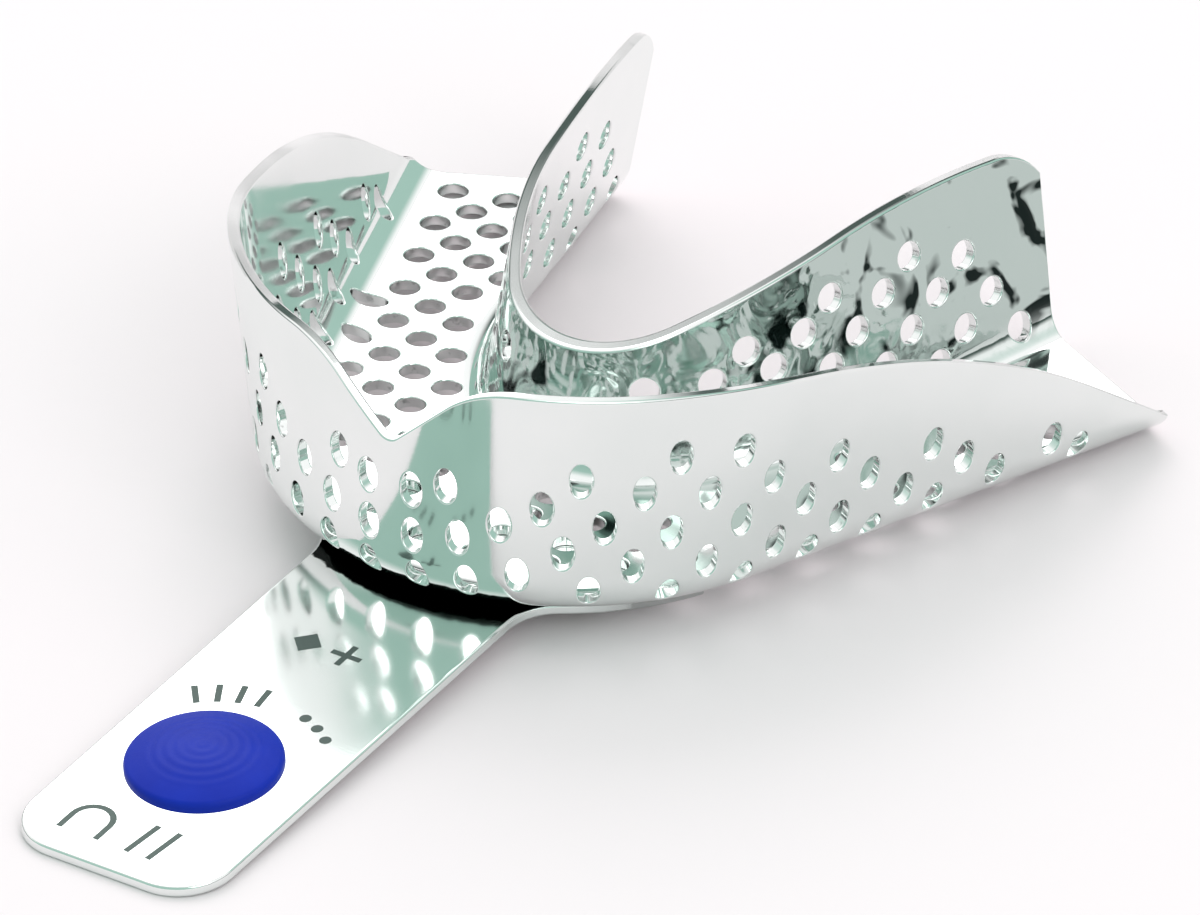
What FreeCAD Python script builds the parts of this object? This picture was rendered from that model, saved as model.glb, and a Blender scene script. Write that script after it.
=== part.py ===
"""Perforated dental impression tray for a lower jaw, in millimetres.

The tray is pressed from one thin stainless sheet into a horseshoe trough: a flared outer (cheek) wall with a
V notch at the front, a flat floor, and an inner (tongue) wall that is left standing behind the front teeth.
A flat handle plate runs under the front of the trough, where it widens into a tab that is plug-welded to the
floor, and a domed colour button is glued to the handle near its free end.

Design frame: the floor's underside is z = 0, the front of the trough is y = 0, the arms run towards +Y, the
handle towards -Y, and x = 0 is the plane of symmetry. Every sub-part is then pitched by the small angle at
which the tray stands on the end of its handle and the heels of its arms.
"""

import FreeCAD
import Part
import Sketcher
import math
import os

from FreeCAD import Placement, Rotation, Vector

SIZES = [
    # name, value, meaning
    ("sheet_gauge", 1.0, "thickness of the pressed trough sheet"),
    ("lip_height", 20.4, "outer wall: height at its highest, over the eye teeth"),
    ("foot_radius", 24.0, "outer wall: plan radius of its front where it meets the floor"),
    ("lip_radius", 28.9, "outer wall: plan radius of its front at lip height"),
    ("front_sweep", 70.0, "outer wall: degrees of arc from the front to where each arm is straight"),
    ("lip_forward", 0.3, "outer wall: how far its lip leans forward at the front"),
    ("cheek_bend", 4.0, "outside bend radius between the floor and the outer wall"),
    ("tongue_front", 22.6, "inner wall: distance of its foot behind the front"),
    ("tongue_nose_radius", 11.2, "inner wall: plan radius of its front"),
    ("tongue_nose_sweep", 52.0, "inner wall: degrees of its front arc"),
    ("tongue_side_radius", 35.5, "inner wall: plan radius of its sides"),
    ("tongue_side_sweep", 25.5, "inner wall: degrees of its side arcs"),
    ("tongue_lean", 9.5, "inner wall: degrees that it leans in over the tongue"),
    ("tongue_bend", 3.2, "outside bend radius between the floor and the inner wall"),
    ("heel_length", 61.7, "length of the floor along the inner wall"),
    ("heel_reference", 20.6, "half width at which the heel length is taken"),
    ("heel_angle", 26.0, "degrees by which each heel is cut forward towards the cheek"),
    ("lip_flat", 8.0, "length over which the outer lip keeps its full height"),
    ("lip_drop_radius", 64.0, "side-view radius of the outer lip's drop"),
    ("lip_drop_sweep", 36.0, "degrees of the outer lip's drop"),
    ("tip_height", 2.1, "height left on the outer wall at the heel"),
    ("tongue_lip_top", 17.2, "inner lip: greatest height"),
    ("tongue_lip_crest", 52.0, "inner lip: distance of its crest behind the front"),
    ("tongue_lip_radius", 70.0, "inner lip: side-view radius"),
    ("tongue_corner", 5.5, "inner lip: radius of its rear corner"),
    ("tongue_corner_reach", 63.3, "inner lip: rear corner's furthest point behind the front"),
    ("notch_depth", 6.2, "depth of the front notch below the outer lip"),
    ("notch_flank", 42.0, "degrees of the notch flanks from level"),
    ("notch_root", 1.2, "radius at the bottom of the notch"),
    ("notch_shoulder", 8.0, "radius where each flank runs out into the lip"),
    ("hole_diameter", 2.35, "perforations"),
    ("wall_stretch", 1.3, "how much taller drawing has made the outer wall's holes, and how much narrower"),
    ("floor_pitch", 5.0, "perforations: spacing along the floor's row 0"),
    ("cheek_pitch", 5.9, "perforations: spacing round the outer wall's foot"),
    ("tongue_pitch", 5.6, "perforations: spacing round the inner wall's foot"),
    ("handle_width", 18.6, "width of the handle"),
    ("handle_reach", 39.0, "handle: distance from the trough's front to its free end"),
    ("handle_gauge", 0.9, "thickness of the handle plate"),
    ("handle_tilt", 5.4, "degrees that the handle drops towards its free end"),
    ("handle_bend_line", 6.0, "distance behind the front at which the handle starts to drop"),
    ("handle_corner", 4.6, "radius of the handle's two free corners"),
    ("tab_inset", 3.0, "how far the tab's edge stays inside the outer wall's foot"),
    ("tab_depth", 15.0, "distance of the tab's rear edge behind the front"),
    ("tab_throat", 4.5, "radius between the handle's side and the tab"),
    ("weld_diameter", 3.2, "plug welds"),
    ("weld_spread", 11.0, "half distance between the outer welds"),
    ("weld_line", 9.5, "distance of the middle weld behind the front"),
    ("weld_edge", 2.8, "distance of the outer welds' middles from the tab's edge"),
    ("button_diameter", 12.4, "colour button"),
    ("button_rim", 0.9, "colour button: height of its edge"),
    ("button_dome", 2.2, "colour button: height at its middle"),
    ("button_from_end", 14.2, "colour button: its centre, from the handle's free end"),
    ("glue_film", 0.15, "thickness of the glue under the button"),
    ("glue_margin", 0.5, "how far the glue stops short of the button's edge"),
]

CLEAR = 5.0             # how far a cutting solid runs past what it cuts
SIDES = (1, -1)


def make_sheet(doc):
    """The spreadsheet of driving dimensions: one named cell for each size."""
    sheet = doc.addObject("Spreadsheet::Sheet", "Sizes")
    for row, (name, value, meaning) in enumerate(SIZES, start=1):
        sheet.set("A%d" % row, name)
        sheet.set("B%d" % row, str(value))
        sheet.set("C%d" % row, meaning)
        sheet.setAlias("B%d" % row, name)
    doc.recompute()
    return sheet


# ---------------------------------------------------------------- outlines

def run_outline(start, parts, tail):
    """Half an outline in plan from (0, start): tangent arcs of (radius, degrees), then a straight tail.

    Returns its edges as (kind, points) with the curve turning from +X towards +Y.
    """
    edges = []
    x, y, heading = 0.0, start, 0.0
    for radius, sweep in parts:
        cx = x - radius * math.sin(heading)
        cy = y + radius * math.cos(heading)
        stops = [heading + math.radians(sweep) * share for share in (0.5, 1.0)]
        middle, end = [(cx + radius * math.sin(a), cy - radius * math.cos(a)) for a in stops]
        edges.append(("arc", ((x, y), middle, end)))
        (x, y), heading = end, stops[1]
    edges.append(("line", ((x, y), (x + tail * math.cos(heading), y + tail * math.sin(heading)))))
    return edges


def close_outline(edges, height):
    """The whole outline at a height: the half, its mirror image in x, and a line between their ends."""
    def spot(point, side=1):
        return Vector(side * point[0], point[1], height)

    half = []
    other = []
    for kind, points in edges:
        if kind == "arc":
            half.append(Part.Arc(*[spot(p) for p in points]).toShape())
            other.append(Part.Arc(*[spot(p, -1) for p in reversed(points)]).toShape())
        else:
            half.append(Part.LineSegment(*[spot(p) for p in points]).toShape())
            other.append(Part.LineSegment(*[spot(p, -1) for p in reversed(points)]).toShape())
    end = edges[-1][1][-1]
    closing = Part.LineSegment(spot(end), spot(end, -1)).toShape()
    return Part.Wire(half + [closing] + other[::-1])


def cheek_outline(size, height, inset=0.0):
    """Outer wall at a height: its front radius grows evenly from foot to lip."""
    share = height / size.lip_height
    radius = size.foot_radius + (size.lip_radius - size.foot_radius) * share - inset
    start = inset - size.lip_forward * share
    return run_outline(start, [(radius, size.front_sweep)], size.heel_length)


def tongue_outline(size, height, outset=0.0):
    """Inner wall at a height: the same outline, moved in by its lean."""
    shift = height * math.tan(math.radians(size.tongue_lean)) - outset
    parts = [(size.tongue_nose_radius - shift, size.tongue_nose_sweep),
             (size.tongue_side_radius - shift, size.tongue_side_sweep)]
    return run_outline(size.tongue_front + shift, parts, size.heel_length)


def outline_point(edges, distance):
    """The point and heading at a distance along a half outline."""
    for kind, points in edges:
        if kind == "arc":
            curve = Part.Arc(*[Vector(x, y, 0) for x, y in points]).toShape()
        else:
            curve = Part.LineSegment(*[Vector(x, y, 0) for x, y in points]).toShape()
        if distance <= curve.Length or kind == "line":
            where = curve.getParameterByLength(min(distance, curve.Length))
            return curve.valueAt(where), curve.tangentAt(where)
        distance -= curve.Length
    raise ValueError("the outline is shorter than the distance")


# ---------------------------------------------------------------- the pressed trough

def horseshoe(size, bottom, top, inset):
    """The solid between the outer and the inner wall, from one height to another.

    An inset moves both walls into the trough, and the two bends along its bottom shrink by as much.
    """
    def loft(outline, low, high):
        return Part.makeLoft([close_outline(outline(size, z, inset), z) for z in (low, high)], True, True)

    under = bottom - CLEAR
    over = top + CLEAR
    outer = loft(cheek_outline, bottom, top)
    tongue = loft(tongue_outline, under, over)
    rear = size.heel_length + size.sheet_gauge
    tongue = tongue.fuse(box(-size.foot_radius, size.foot_radius, rear + CLEAR, 4 * rear, under, over))
    block = outer.cut(tongue)
    for outline, bend in ((cheek_outline, size.cheek_bend), (tongue_outline, size.tongue_bend)):
        guide = close_outline(outline(size, bottom, inset), bottom)
        edges = [e for e in block.Edges if lies_on(e, guide) and not is_rear(e)]
        block = block.makeFillet(bend - inset, edges)
    return block


def box(x0, x1, y0, y1, z0, z1):
    return Part.makeBox(x1 - x0, y1 - y0, z1 - z0, Vector(x0, y0, z0))


def lies_on(edge, wire):
    """True where both ends and the middle of an edge are on a wire."""
    first, last = edge.ParameterRange
    spots = [edge.valueAt(first + (last - first) * share) for share in (0.02, 0.5, 0.98)]
    return all(wire.distToShape(Part.Vertex(spot))[0] < 1e-4 for spot in spots)


def is_rear(edge):
    """True for a level edge that runs straight across, as the outline's closing line does."""
    first, last = edge.ParameterRange
    return abs(edge.valueAt(first).y - edge.valueAt(last).y) < 1e-6 and edge.Length > 1.0


def side_profile(points_and_arcs, reach):
    """A closed face in the YZ plane, pushed the same way to both sides of x = 0."""
    edges = []
    for item in points_and_arcs:
        spots = [Vector(-reach, y, z) for y, z in item]
        edges.append((Part.Arc if len(spots) == 3 else Part.LineSegment)(*spots).toShape())
    return Part.Face(Part.Wire(edges)).extrude(Vector(2 * reach, 0, 0))


def above_cheek_lip(size):
    """Everything above the outer lip's side view: level, then an arc, then a straight drop to the tip."""
    reach = 3 * size.foot_radius
    sweep = math.radians(size.lip_drop_sweep)
    radius = size.lip_drop_radius
    top = size.lip_height

    def on_arc(angle):
        return (size.lip_flat + radius * math.sin(angle), top - radius * (1 - math.cos(angle)))

    drop = on_arc(sweep)
    tip = (drop[0] + (drop[1] - size.tip_height) / math.tan(sweep), size.tip_height)
    far = size.heel_length + 4 * CLEAR
    high = top + CLEAR
    return side_profile([
        ((-CLEAR, high), (-CLEAR, top)),
        ((-CLEAR, top), on_arc(0)),
        (on_arc(0), on_arc(sweep / 2), drop),
        (drop, tip),
        (tip, (far, size.tip_height)),
        ((far, size.tip_height), (far, high)),
        ((far, high), (-CLEAR, high)),
    ], reach)


def above_tongue_lip(size):
    """Everything above the inner lip's side view: one long arc, and a rounded rear corner."""
    radius, crest, top = size.tongue_lip_radius, size.tongue_lip_crest, size.tongue_lip_top

    def lip(y):
        return (y, top - radius + math.sqrt(radius ** 2 - (y - crest) ** 2))

    corner_y = size.tongue_corner_reach - size.tongue_corner
    corner_z = lip(corner_y)[1] - size.tongue_corner
    slant = math.sqrt(0.5) * size.tongue_corner
    high = size.lip_height + 2 * CLEAR
    far = size.heel_length + 4 * CLEAR
    front = (0.5 * size.tongue_front, lip(0.5 * size.tongue_front)[1])
    outer = (size.tongue_corner_reach, corner_z)
    return side_profile([
        ((front[0], high), front),
        (front, lip((front[0] + corner_y) / 2), lip(corner_y)),
        (lip(corner_y), (corner_y + slant, corner_z + slant), outer),
        (outer, (far, corner_z)),
        ((far, corner_z), (far, high)),
        ((far, high), (front[0], high)),
    ], 2 * size.foot_radius)


def behind_heels(size):
    """Everything behind the two slanting heel cuts."""
    slope = math.tan(math.radians(size.heel_angle))
    wide = 3 * size.foot_radius
    ridge = size.heel_length + slope * size.heel_reference
    far = 3 * size.heel_length
    side = ridge - slope * wide
    corners = [(0, ridge), (wide, side), (wide, far), (-wide, far), (-wide, side)]
    corners = [Vector(x, y, -CLEAR) for x, y in corners + corners[:1]]
    return Part.Face(Part.makePolygon(corners)).extrude(Vector(0, 0, size.lip_height + 4 * CLEAR))


def front_notch(size):
    """The V cut in the front lip: a round root, straight flanks, and flanks that run out along an arc."""
    flank = math.radians(size.notch_flank)
    root, shoulder = size.notch_root, size.notch_shoulder
    low = size.lip_height - size.notch_depth

    def root_point(angle):
        return (root * math.sin(angle), low + root * (1 - math.cos(angle)))

    foot = root_point(flank)
    crown = size.lip_height - shoulder * (1 - math.cos(flank))
    reach = foot[0] + (crown - foot[1]) / math.tan(flank)
    centre = reach + shoulder * math.sin(flank)

    def shoulder_point(angle):
        return (centre - shoulder * math.sin(angle), size.lip_height - shoulder * (1 - math.cos(angle)))

    high = size.lip_height + CLEAR
    level = (centre, size.lip_height)
    right = [
        (foot, shoulder_point(flank)),
        (shoulder_point(flank), shoulder_point(flank / 2), level),
        (level, (centre, high)),
    ]
    edges = [Part.Arc(*[Vector(x, -CLEAR, z) for x, z in (root_point(-flank), (0, low), foot)]).toShape()]
    for side in SIDES:
        for item in right:
            spots = [Vector(side * x, -CLEAR, z) for x, z in item]
            edges.append((Part.Arc if len(spots) == 3 else Part.LineSegment)(*spots).toShape())
    edges.append(Part.LineSegment(Vector(-centre, -CLEAR, high), Vector(centre, -CLEAR, high)).toShape())
    face = Part.Face(Part.Wire(Part.__sortEdges__(edges)))
    return face.extrude(Vector(0, CLEAR + 0.5 * size.tongue_front, 0))


def pressed_trough(size):
    """The trough before it is perforated."""
    gauge, top = size.sheet_gauge, size.lip_height
    shell = horseshoe(size, 0.0, top, 0.0).cut(horseshoe(size, gauge, top + CLEAR, gauge))
    zone_gap = size.tongue_bend + gauge
    zone_edges = close_outline(tongue_outline(size, 0.0, zone_gap), -CLEAR)
    tongue_zone = Part.Face(zone_edges).extrude(Vector(0, 0, top + 4 * CLEAR))
    shell = shell.cut(above_cheek_lip(size).cut(tongue_zone))
    shell = shell.cut(above_tongue_lip(size).common(tongue_zone))
    return shell.cut(front_notch(size)).cut(behind_heels(size))


# ---------------------------------------------------------------- perforations

FLOOR_PITCH_STEP = 0.14     # spacing added for each floor row further out
FLOOR_FIRST = 2.5           # first hole of a floor row, from the plane of symmetry
FLOOR_ROWS = range(-2, 4)
FLOOR_HOLES = range(11)
FLOOR_START = 18.0          # floor row 0: its distance behind the front
FLOOR_NOSE = (14.0, 57.0)   # floor row 0: radius and sweep of its front arc
FLOOR_SIDE = (137.0, 14.0)  # floor row 0: radius and sweep of its side arcs
FLOOR_ROW_RADIUS = 2.0      # each row further out has this much more front radius
FLOOR_ROW_STEP = 3.33       # and starts this much nearer the front
FOOT_SHARE = 0.7            # least gap to the outer wall's foot, as a share of that bend's radius

CHEEK_SPOTS = (             # the outer wall's holes: how many pitches round from the front, and height
    (0.37, 2.4), (0.32, 6.2), (0.31, 10.3), (1.07, 3.0), (0.94, 7.0), (0.76, 11.4), (1.72, 4.3), (1.45, 8.7),
    (2.26, 6.5), (1.94, 10.5), (2.72, 8.85), (2.36, 13.15), (2.66, 2.8), (3.16, 5.15), (3.13, 11.8),
    (3.57, 7.9), (3.48, 14.8), (3.95, 11.0), (4.26, 14.35), (3.73, 2.0), (4.15, 4.5), (4.5, 7.65),
    (4.81, 10.9), (4.8, 2.0), (5.18, 4.3), (5.49, 7.5), (5.85, 10.65), (5.84, 2.2), (6.2, 4.45),
    (6.51, 7.75), (6.88, 2.0), (7.22, 4.85), (7.51, 8.3), (7.84, 2.7), (8.16, 5.8), (8.81, 3.3),
    (9.69, 4.3), (10.25, 2.45))
ARM_START = 30.0            # distance behind the front at which the lip is low enough for
ARM_LIP_MARGIN = 2.6        # holes this near to it
NOTCH_HALF_WIDTH = 6.0      # no hole is nearer the middle than this beside the notch
NOTCH_MARGIN = 2.4          # or less than this below its bottom

TONGUE_HOLES = range(9)
TONGUE_ROWS = range(4)
TONGUE_FIRST = 1.3
TONGUE_SHIFT = 3.1          # each row higher starts this much further round
TONGUE_RISE = 2.0
TONGUE_LEVEL = 8.0          # height of the lowest row round the front
TONGUE_FALL = 0.35          # slope at which the rows go down along the sides
TONGUE_FALL_FROM = 19.0     # distance round at which that begins

LIP_MARGIN = 3.6            # least distance from a wall hole's middle to the lip
HEEL_MARGIN = 2.5           # least distance from a hole's middle to the heel cut
DRILL = 6.0                 # length of the solid that cuts a hole


def drill(size, centre, direction):
    """The solid that cuts one hole, half its length each side of the sheet."""
    radius = 0.5 * size.hole_diameter
    start = centre - direction * (0.5 * DRILL)
    return Part.makeCylinder(radius, DRILL, start, direction)


def stretched_drill(size, centre, direction):
    """The solid that cuts one hole of the outer wall, stretched in height and narrowed by drawing."""
    along = direction.cross(Vector(0, 0, 1)).normalize()
    upwards = along.cross(direction)
    start = centre - direction * (0.5 * DRILL)
    tall = upwards * (0.5 * size.hole_diameter * size.wall_stretch)
    wide = along * (0.5 * size.hole_diameter / size.wall_stretch)
    ring = Part.Ellipse(start + tall, start + wide, start)
    return Part.Face(Part.Wire(ring.toShape())).extrude(direction * DRILL)


def heel_gap(size, spot):
    """Distance from a point in plan to the heel cut."""
    slope = math.tan(math.radians(size.heel_angle))
    ridge = size.heel_length + slope * size.heel_reference
    return (ridge - slope * abs(spot.x) - spot.y) * math.cos(math.radians(size.heel_angle))


def outline_gap(spot, edges):
    """Distance in plan from a point to a half outline."""
    shapes = []
    for kind, points in edges:
        spots = [Vector(x, y, 0) for x, y in points]
        shapes.append((Part.Arc if kind == "arc" else Part.LineSegment)(*spots).toShape())
    return Part.Wire(shapes).distToShape(Part.Vertex(Vector(spot.x, spot.y, 0)))[0]


def beyond(spot, edges):
    """True where a point lies on the trough's side of the inner wall."""
    wire = close_outline(edges, 0.0)
    return not Part.Face(wire).isInside(Vector(spot.x, spot.y, 0), 1e-3, True)


def floor_drills(size):
    """Rows along the arch; the holes of neighbouring rows lie on slanting lines."""
    found = []
    foot = cheek_outline(size, 0.0)
    inner = tongue_outline(size, 0.0)
    for row in FLOOR_ROWS:
        wider = FLOOR_ROW_RADIUS * row
        parts = [(FLOOR_NOSE[0] + wider, FLOOR_NOSE[1]), (FLOOR_SIDE[0] - wider, FLOOR_SIDE[1])]
        path = run_outline(FLOOR_START - FLOOR_ROW_STEP * row, parts, size.heel_length)
        for number in FLOOR_HOLES:
            along = FLOOR_FIRST + number * (size.floor_pitch + FLOOR_PITCH_STEP * row)
            spot, _ = outline_point(path, along)
            off_bends = (outline_gap(spot, foot) > FOOT_SHARE * size.cheek_bend
                         and outline_gap(spot, inner) > size.tongue_bend and beyond(spot, inner))
            if off_bends and heel_gap(size, spot) > HEEL_MARGIN:
                found += [drill(size, Vector(side * spot.x, spot.y, 0), Vector(0, 0, 1)) for side in SIDES]
    return found


def wall_drill(size, outline, along, height):
    """A hole square to a wall, at a distance round its foot."""
    foot, heading = outline_point(outline(size, 0.0), along)
    upper, _ = outline_point(outline(size, height), along * run_ratio(size, outline, height, along))
    spot = Vector(upper.x, upper.y, height)
    rise = spot - Vector(foot.x, foot.y, 0)
    normal = Vector(heading.x, heading.y, 0).cross(rise).normalize()
    return spot, normal


def run_ratio(size, outline, height, along):
    """How much longer the front arcs are at a height than at the foot."""
    def arcs(at):
        return sum(Part.Arc(*[Vector(x, y, 0) for x, y in points]).toShape().Length
                   for kind, points in outline(size, at) if kind == "arc")
    low, high = arcs(0.0), arcs(height)
    return high / low if along <= low else (high + along - low) / along


def cheek_lip_at(size, y):
    """Height of the outer lip at a distance behind the front."""
    sweep = math.radians(size.lip_drop_sweep)
    past = y - size.lip_flat
    if past <= 0:
        return size.lip_height
    if past < size.lip_drop_radius * math.sin(sweep):
        return size.lip_height - size.lip_drop_radius + math.sqrt(size.lip_drop_radius ** 2 - past ** 2)
    low = size.lip_height - size.lip_drop_radius * (1 - math.cos(sweep))
    return low - (past - size.lip_drop_radius * math.sin(sweep)) * math.tan(sweep)


def mirrored_drills(size, spot, normal, cutter):
    """The two solids that cut a hole and its mirror image."""
    return [cutter(size, Vector(side * spot.x, spot.y, spot.z), Vector(side * normal.x, normal.y, normal.z))
            for side in SIDES]


def onto_bend(size, spot, normal):
    """A hole's place and direction on the outer wall, moved onto the bend where it lies under the wall."""
    lean = -normal.z
    wall_foot = size.cheek_bend * (1 - lean)
    if spot.z >= wall_foot:
        return spot, normal
    level = Vector(normal.x, normal.y, 0).normalize()
    sine = lean + (wall_foot - spot.z) / size.cheek_bend
    inwards = size.cheek_bend * (math.sqrt(1 - lean ** 2) - math.sqrt(1 - sine ** 2))
    return spot - level * inwards, level * math.sqrt(1 - sine ** 2) - Vector(0, 0, sine)


def cheek_drills(size):
    """The holes of the outer wall, each where the table puts it, clear of the lip, the notch and the heel."""
    found = []
    notch_low = size.lip_height - size.notch_depth - NOTCH_MARGIN
    for pitches, height in CHEEK_SPOTS:
        spot, normal = onto_bend(size, *wall_drill(size, cheek_outline, size.cheek_pitch * pitches, height))
        in_notch = spot.x < NOTCH_HALF_WIDTH and height > notch_low
        margin = LIP_MARGIN if spot.y < ARM_START else ARM_LIP_MARGIN
        off_lip = cheek_lip_at(size, spot.y) - height > margin
        if off_lip and not in_notch and heel_gap(size, spot) > HEEL_MARGIN:
            found += mirrored_drills(size, spot, normal, stretched_drill)
    return found


def tongue_drills(size):
    """Rows round the inner wall, level round the front and falling along the sides."""
    found = []
    for row in TONGUE_ROWS:
        for number in TONGUE_HOLES:
            start = TONGUE_SHIFT * row
            along = TONGUE_FIRST + start + size.tongue_pitch * number
            fall = TONGUE_FALL * max(0.0, along - TONGUE_FALL_FROM - start)
            height = TONGUE_LEVEL + TONGUE_RISE * row - fall
            if height < FOOT_SHARE * size.tongue_bend:
                continue
            spot, normal = wall_drill(size, tongue_outline, along, height)
            behind_crest = spot.y - size.tongue_lip_crest
            lip = (size.tongue_lip_top - size.tongue_lip_radius
                   + math.sqrt(size.tongue_lip_radius ** 2 - behind_crest ** 2))
            if lip - height > LIP_MARGIN and heel_gap(size, spot) > LIP_MARGIN:
                found += mirrored_drills(size, spot, normal, drill)
    return found


def tray_shell(size):
    """The finished pressing: the trough with all its holes."""
    holes = floor_drills(size) + cheek_drills(size) + tongue_drills(size)
    print("perforations: %d" % len(holes))
    return pressed_trough(size).cut(Part.makeCompound(holes))


# ---------------------------------------------------------------- the document's objects

def origin_plane(body, role):
    """One of a body's own origin planes."""
    return next(f for f in body.Origin.OriginFeatures if f.Role == role)


def new_sketch(body, name, role):
    sketch = body.newObject("Sketcher::SketchObject", name)
    sketch.AttachmentSupport = (origin_plane(body, role), [""])
    sketch.MapMode = "FlatFace"
    return sketch


def bind(sketch, name, expression, *constraint):
    """Add a named dimension to a sketch and tie it to the sheet."""
    number = sketch.addConstraint(Sketcher.Constraint(*constraint))
    sketch.renameConstraint(number, name)
    sketch.setExpression("Constraints." + name, expression)


def chain(sketch, numbers, smooth=(), backward=()):
    """Join each curve to the next, closing the loop.

    A pair in smooth joins without a corner; a curve in backward is drawn against the way round the loop.
    """
    for first, second in zip(numbers, numbers[1:] + numbers[:1]):
        kind = "Tangent" if (first, second) in smooth else "Coincident"
        leave = 1 if first in backward else 2
        enter = 2 if second in backward else 1
        sketch.addConstraint(Sketcher.Constraint(kind, first, leave, second, enter))


def arc_curve(centre, radius, start, end):
    """An arc from one angle to another, in degrees, anticlockwise."""
    circle = Part.Circle(Vector(centre[0], centre[1], 0), Vector(0, 0, 1), radius)
    return Part.ArcOfCircle(circle, math.radians(start), math.radians(end))


def line_curve(first, second):
    return Part.LineSegment(Vector(first[0], first[1], 0), Vector(second[0], second[1], 0))


def throat(size):
    """Centre of the arc between the handle's side and the tab, and the angle at which it meets the tab."""
    tab_radius = size.foot_radius - size.tab_inset
    across = 0.5 * size.handle_width + size.tab_throat
    down = math.sqrt((tab_radius + size.tab_throat) ** 2 - across ** 2)
    return (across, size.foot_radius - down), math.degrees(math.atan2(down, across))


def handle_body(doc, size):
    """The handle plate: half its outline padded and mirrored, then cut to the bent plate's thickness."""
    body = doc.addObject("PartDesign::Body", "handle")
    half = 0.5 * size.handle_width
    corner, reach = size.handle_corner, size.handle_reach
    tab_radius = size.foot_radius - size.tab_inset
    (cx, cy), meet = throat(size)
    tab_end = math.sqrt(tab_radius ** 2 - (size.foot_radius - size.tab_depth) ** 2)
    tab_angle = math.degrees(math.atan2(size.tab_depth - size.foot_radius, tab_end))

    outline = new_sketch(body, "plate_outline", "XY_Plane")
    outline.addGeometry([
        line_curve((0, size.tab_depth), (0, -reach)),
        line_curve((0, -reach), (half - corner, -reach)),
        arc_curve((half - corner, corner - reach), corner, -90, 0),
        line_curve((half, corner - reach), (half, cy)),
        arc_curve((cx, cy), size.tab_throat, 180 - meet, 180),
        arc_curve((0, size.foot_radius), tab_radius, -meet, tab_angle),
        line_curve((tab_end, size.tab_depth), (0, size.tab_depth)),
    ])
    chain(outline, list(range(7)), smooth=((1, 2), (2, 3), (3, 4), (4, 5)), backward=(4,))
    for which in (1, 2):
        outline.addConstraint(Sketcher.Constraint("PointOnObject", 0, which, -2))
    outline.addConstraint([
        Sketcher.Constraint("PointOnObject", 5, 3, -2),
        Sketcher.Constraint("Horizontal", 1),
        Sketcher.Constraint("Horizontal", 6),
        Sketcher.Constraint("Vertical", 3),
    ])
    bind(outline, "half_width", "Sizes.handle_width / 2", "DistanceX", -1, 1, 3, 1, half)
    bind(outline, "reach", "Sizes.handle_reach", "DistanceY", 1, 1, -1, 1, reach)
    bind(outline, "corner", "Sizes.handle_corner", "Radius", 2, corner)
    bind(outline, "throat", "Sizes.tab_throat", "Radius", 4, size.tab_throat)
    bind(outline, "tab_radius", "Sizes.foot_radius - Sizes.tab_inset", "Radius", 5, tab_radius)
    bind(outline, "tab_centre", "Sizes.foot_radius", "DistanceY", -1, 1, 5, 3, size.foot_radius)
    bind(outline, "tab_depth", "Sizes.tab_depth", "DistanceY", -1, 1, 6, 1, size.tab_depth)

    block = body.newObject("PartDesign::Pad", "plate_block")
    block.Profile = outline
    block.Midplane = True
    block.setExpression("Length", "2 * Sizes.handle_reach")
    doc.recompute()
    whole = body.newObject("PartDesign::Mirrored", "plate_whole")
    whole.Originals = [block]
    whole.MirrorPlane = (origin_plane(body, "YZ_Plane"), [""])
    body.Tip = whole
    doc.recompute()

    bent = new_sketch(body, "plate_sides", "YZ_Plane")
    for outside in (above_plate(size), below_plate(size)):
        first = bent.GeometryCount
        for start, end in zip(outside, outside[1:] + outside[:1]):
            bent.addGeometry(line_curve(start, end))
        chain(bent, list(range(first, bent.GeometryCount)))
    trim = body.newObject("PartDesign::Pocket", "plate_thickness")
    trim.Profile = bent
    trim.Type = "ThroughAll"
    trim.Midplane = True
    doc.recompute()

    spots = new_sketch(body, "weld_spots", "XY_Plane")
    radius = 0.5 * size.weld_diameter
    for number, (x, y) in enumerate(weld_places(size)):
        spots.addGeometry(Part.Circle(Vector(x, y, 0), Vector(0, 0, 1), radius))
        bind(spots, "weld_%d" % number, "Sizes.weld_diameter / 2", "Radius", number, radius)
    holes = body.newObject("PartDesign::Pocket", "weld_holes")
    holes.Profile = spots
    holes.Type = "ThroughAll"
    holes.Midplane = True
    doc.recompute()
    return body


def weld_places(size):
    """Plan places of the plug welds: the outer two, held off the tab's round edge, and one between them."""
    reach = size.foot_radius - size.tab_inset - size.weld_edge
    outer_y = size.foot_radius - math.sqrt(reach ** 2 - size.weld_spread ** 2)
    return [(-size.weld_spread, outer_y), (0.0, size.weld_line), (size.weld_spread, outer_y)]


def plate_line(size, y, drop):
    """Height of the bent plate's top face at y, or of the face a drop below it."""
    tilt = math.radians(size.handle_tilt)
    if y >= size.handle_bend_line:
        return -drop
    return (y - size.handle_bend_line) * math.tan(tilt) - drop / math.cos(tilt)


def above_plate(size):
    """The region over the plate's top face, in side view."""
    far = size.handle_reach + CLEAR
    high = size.handle_reach
    rear = size.tab_depth + CLEAR
    bend = size.handle_bend_line
    return [(bend, 0), (rear, 0), (rear, high), (-far, high), (-far, plate_line(size, -far, 0.0))]


def below_plate(size):
    """The region under the plate's lower face, in side view."""
    far = size.handle_reach + CLEAR
    low = -size.handle_reach
    rear = size.tab_depth + CLEAR
    gauge = size.handle_gauge
    elbow = size.handle_bend_line + gauge * math.tan(math.radians(0.5 * size.handle_tilt))
    return [(elbow, -gauge), (rear, -gauge), (rear, low), (-far, low), (-far, plate_line(size, -far, gauge))]


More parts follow.
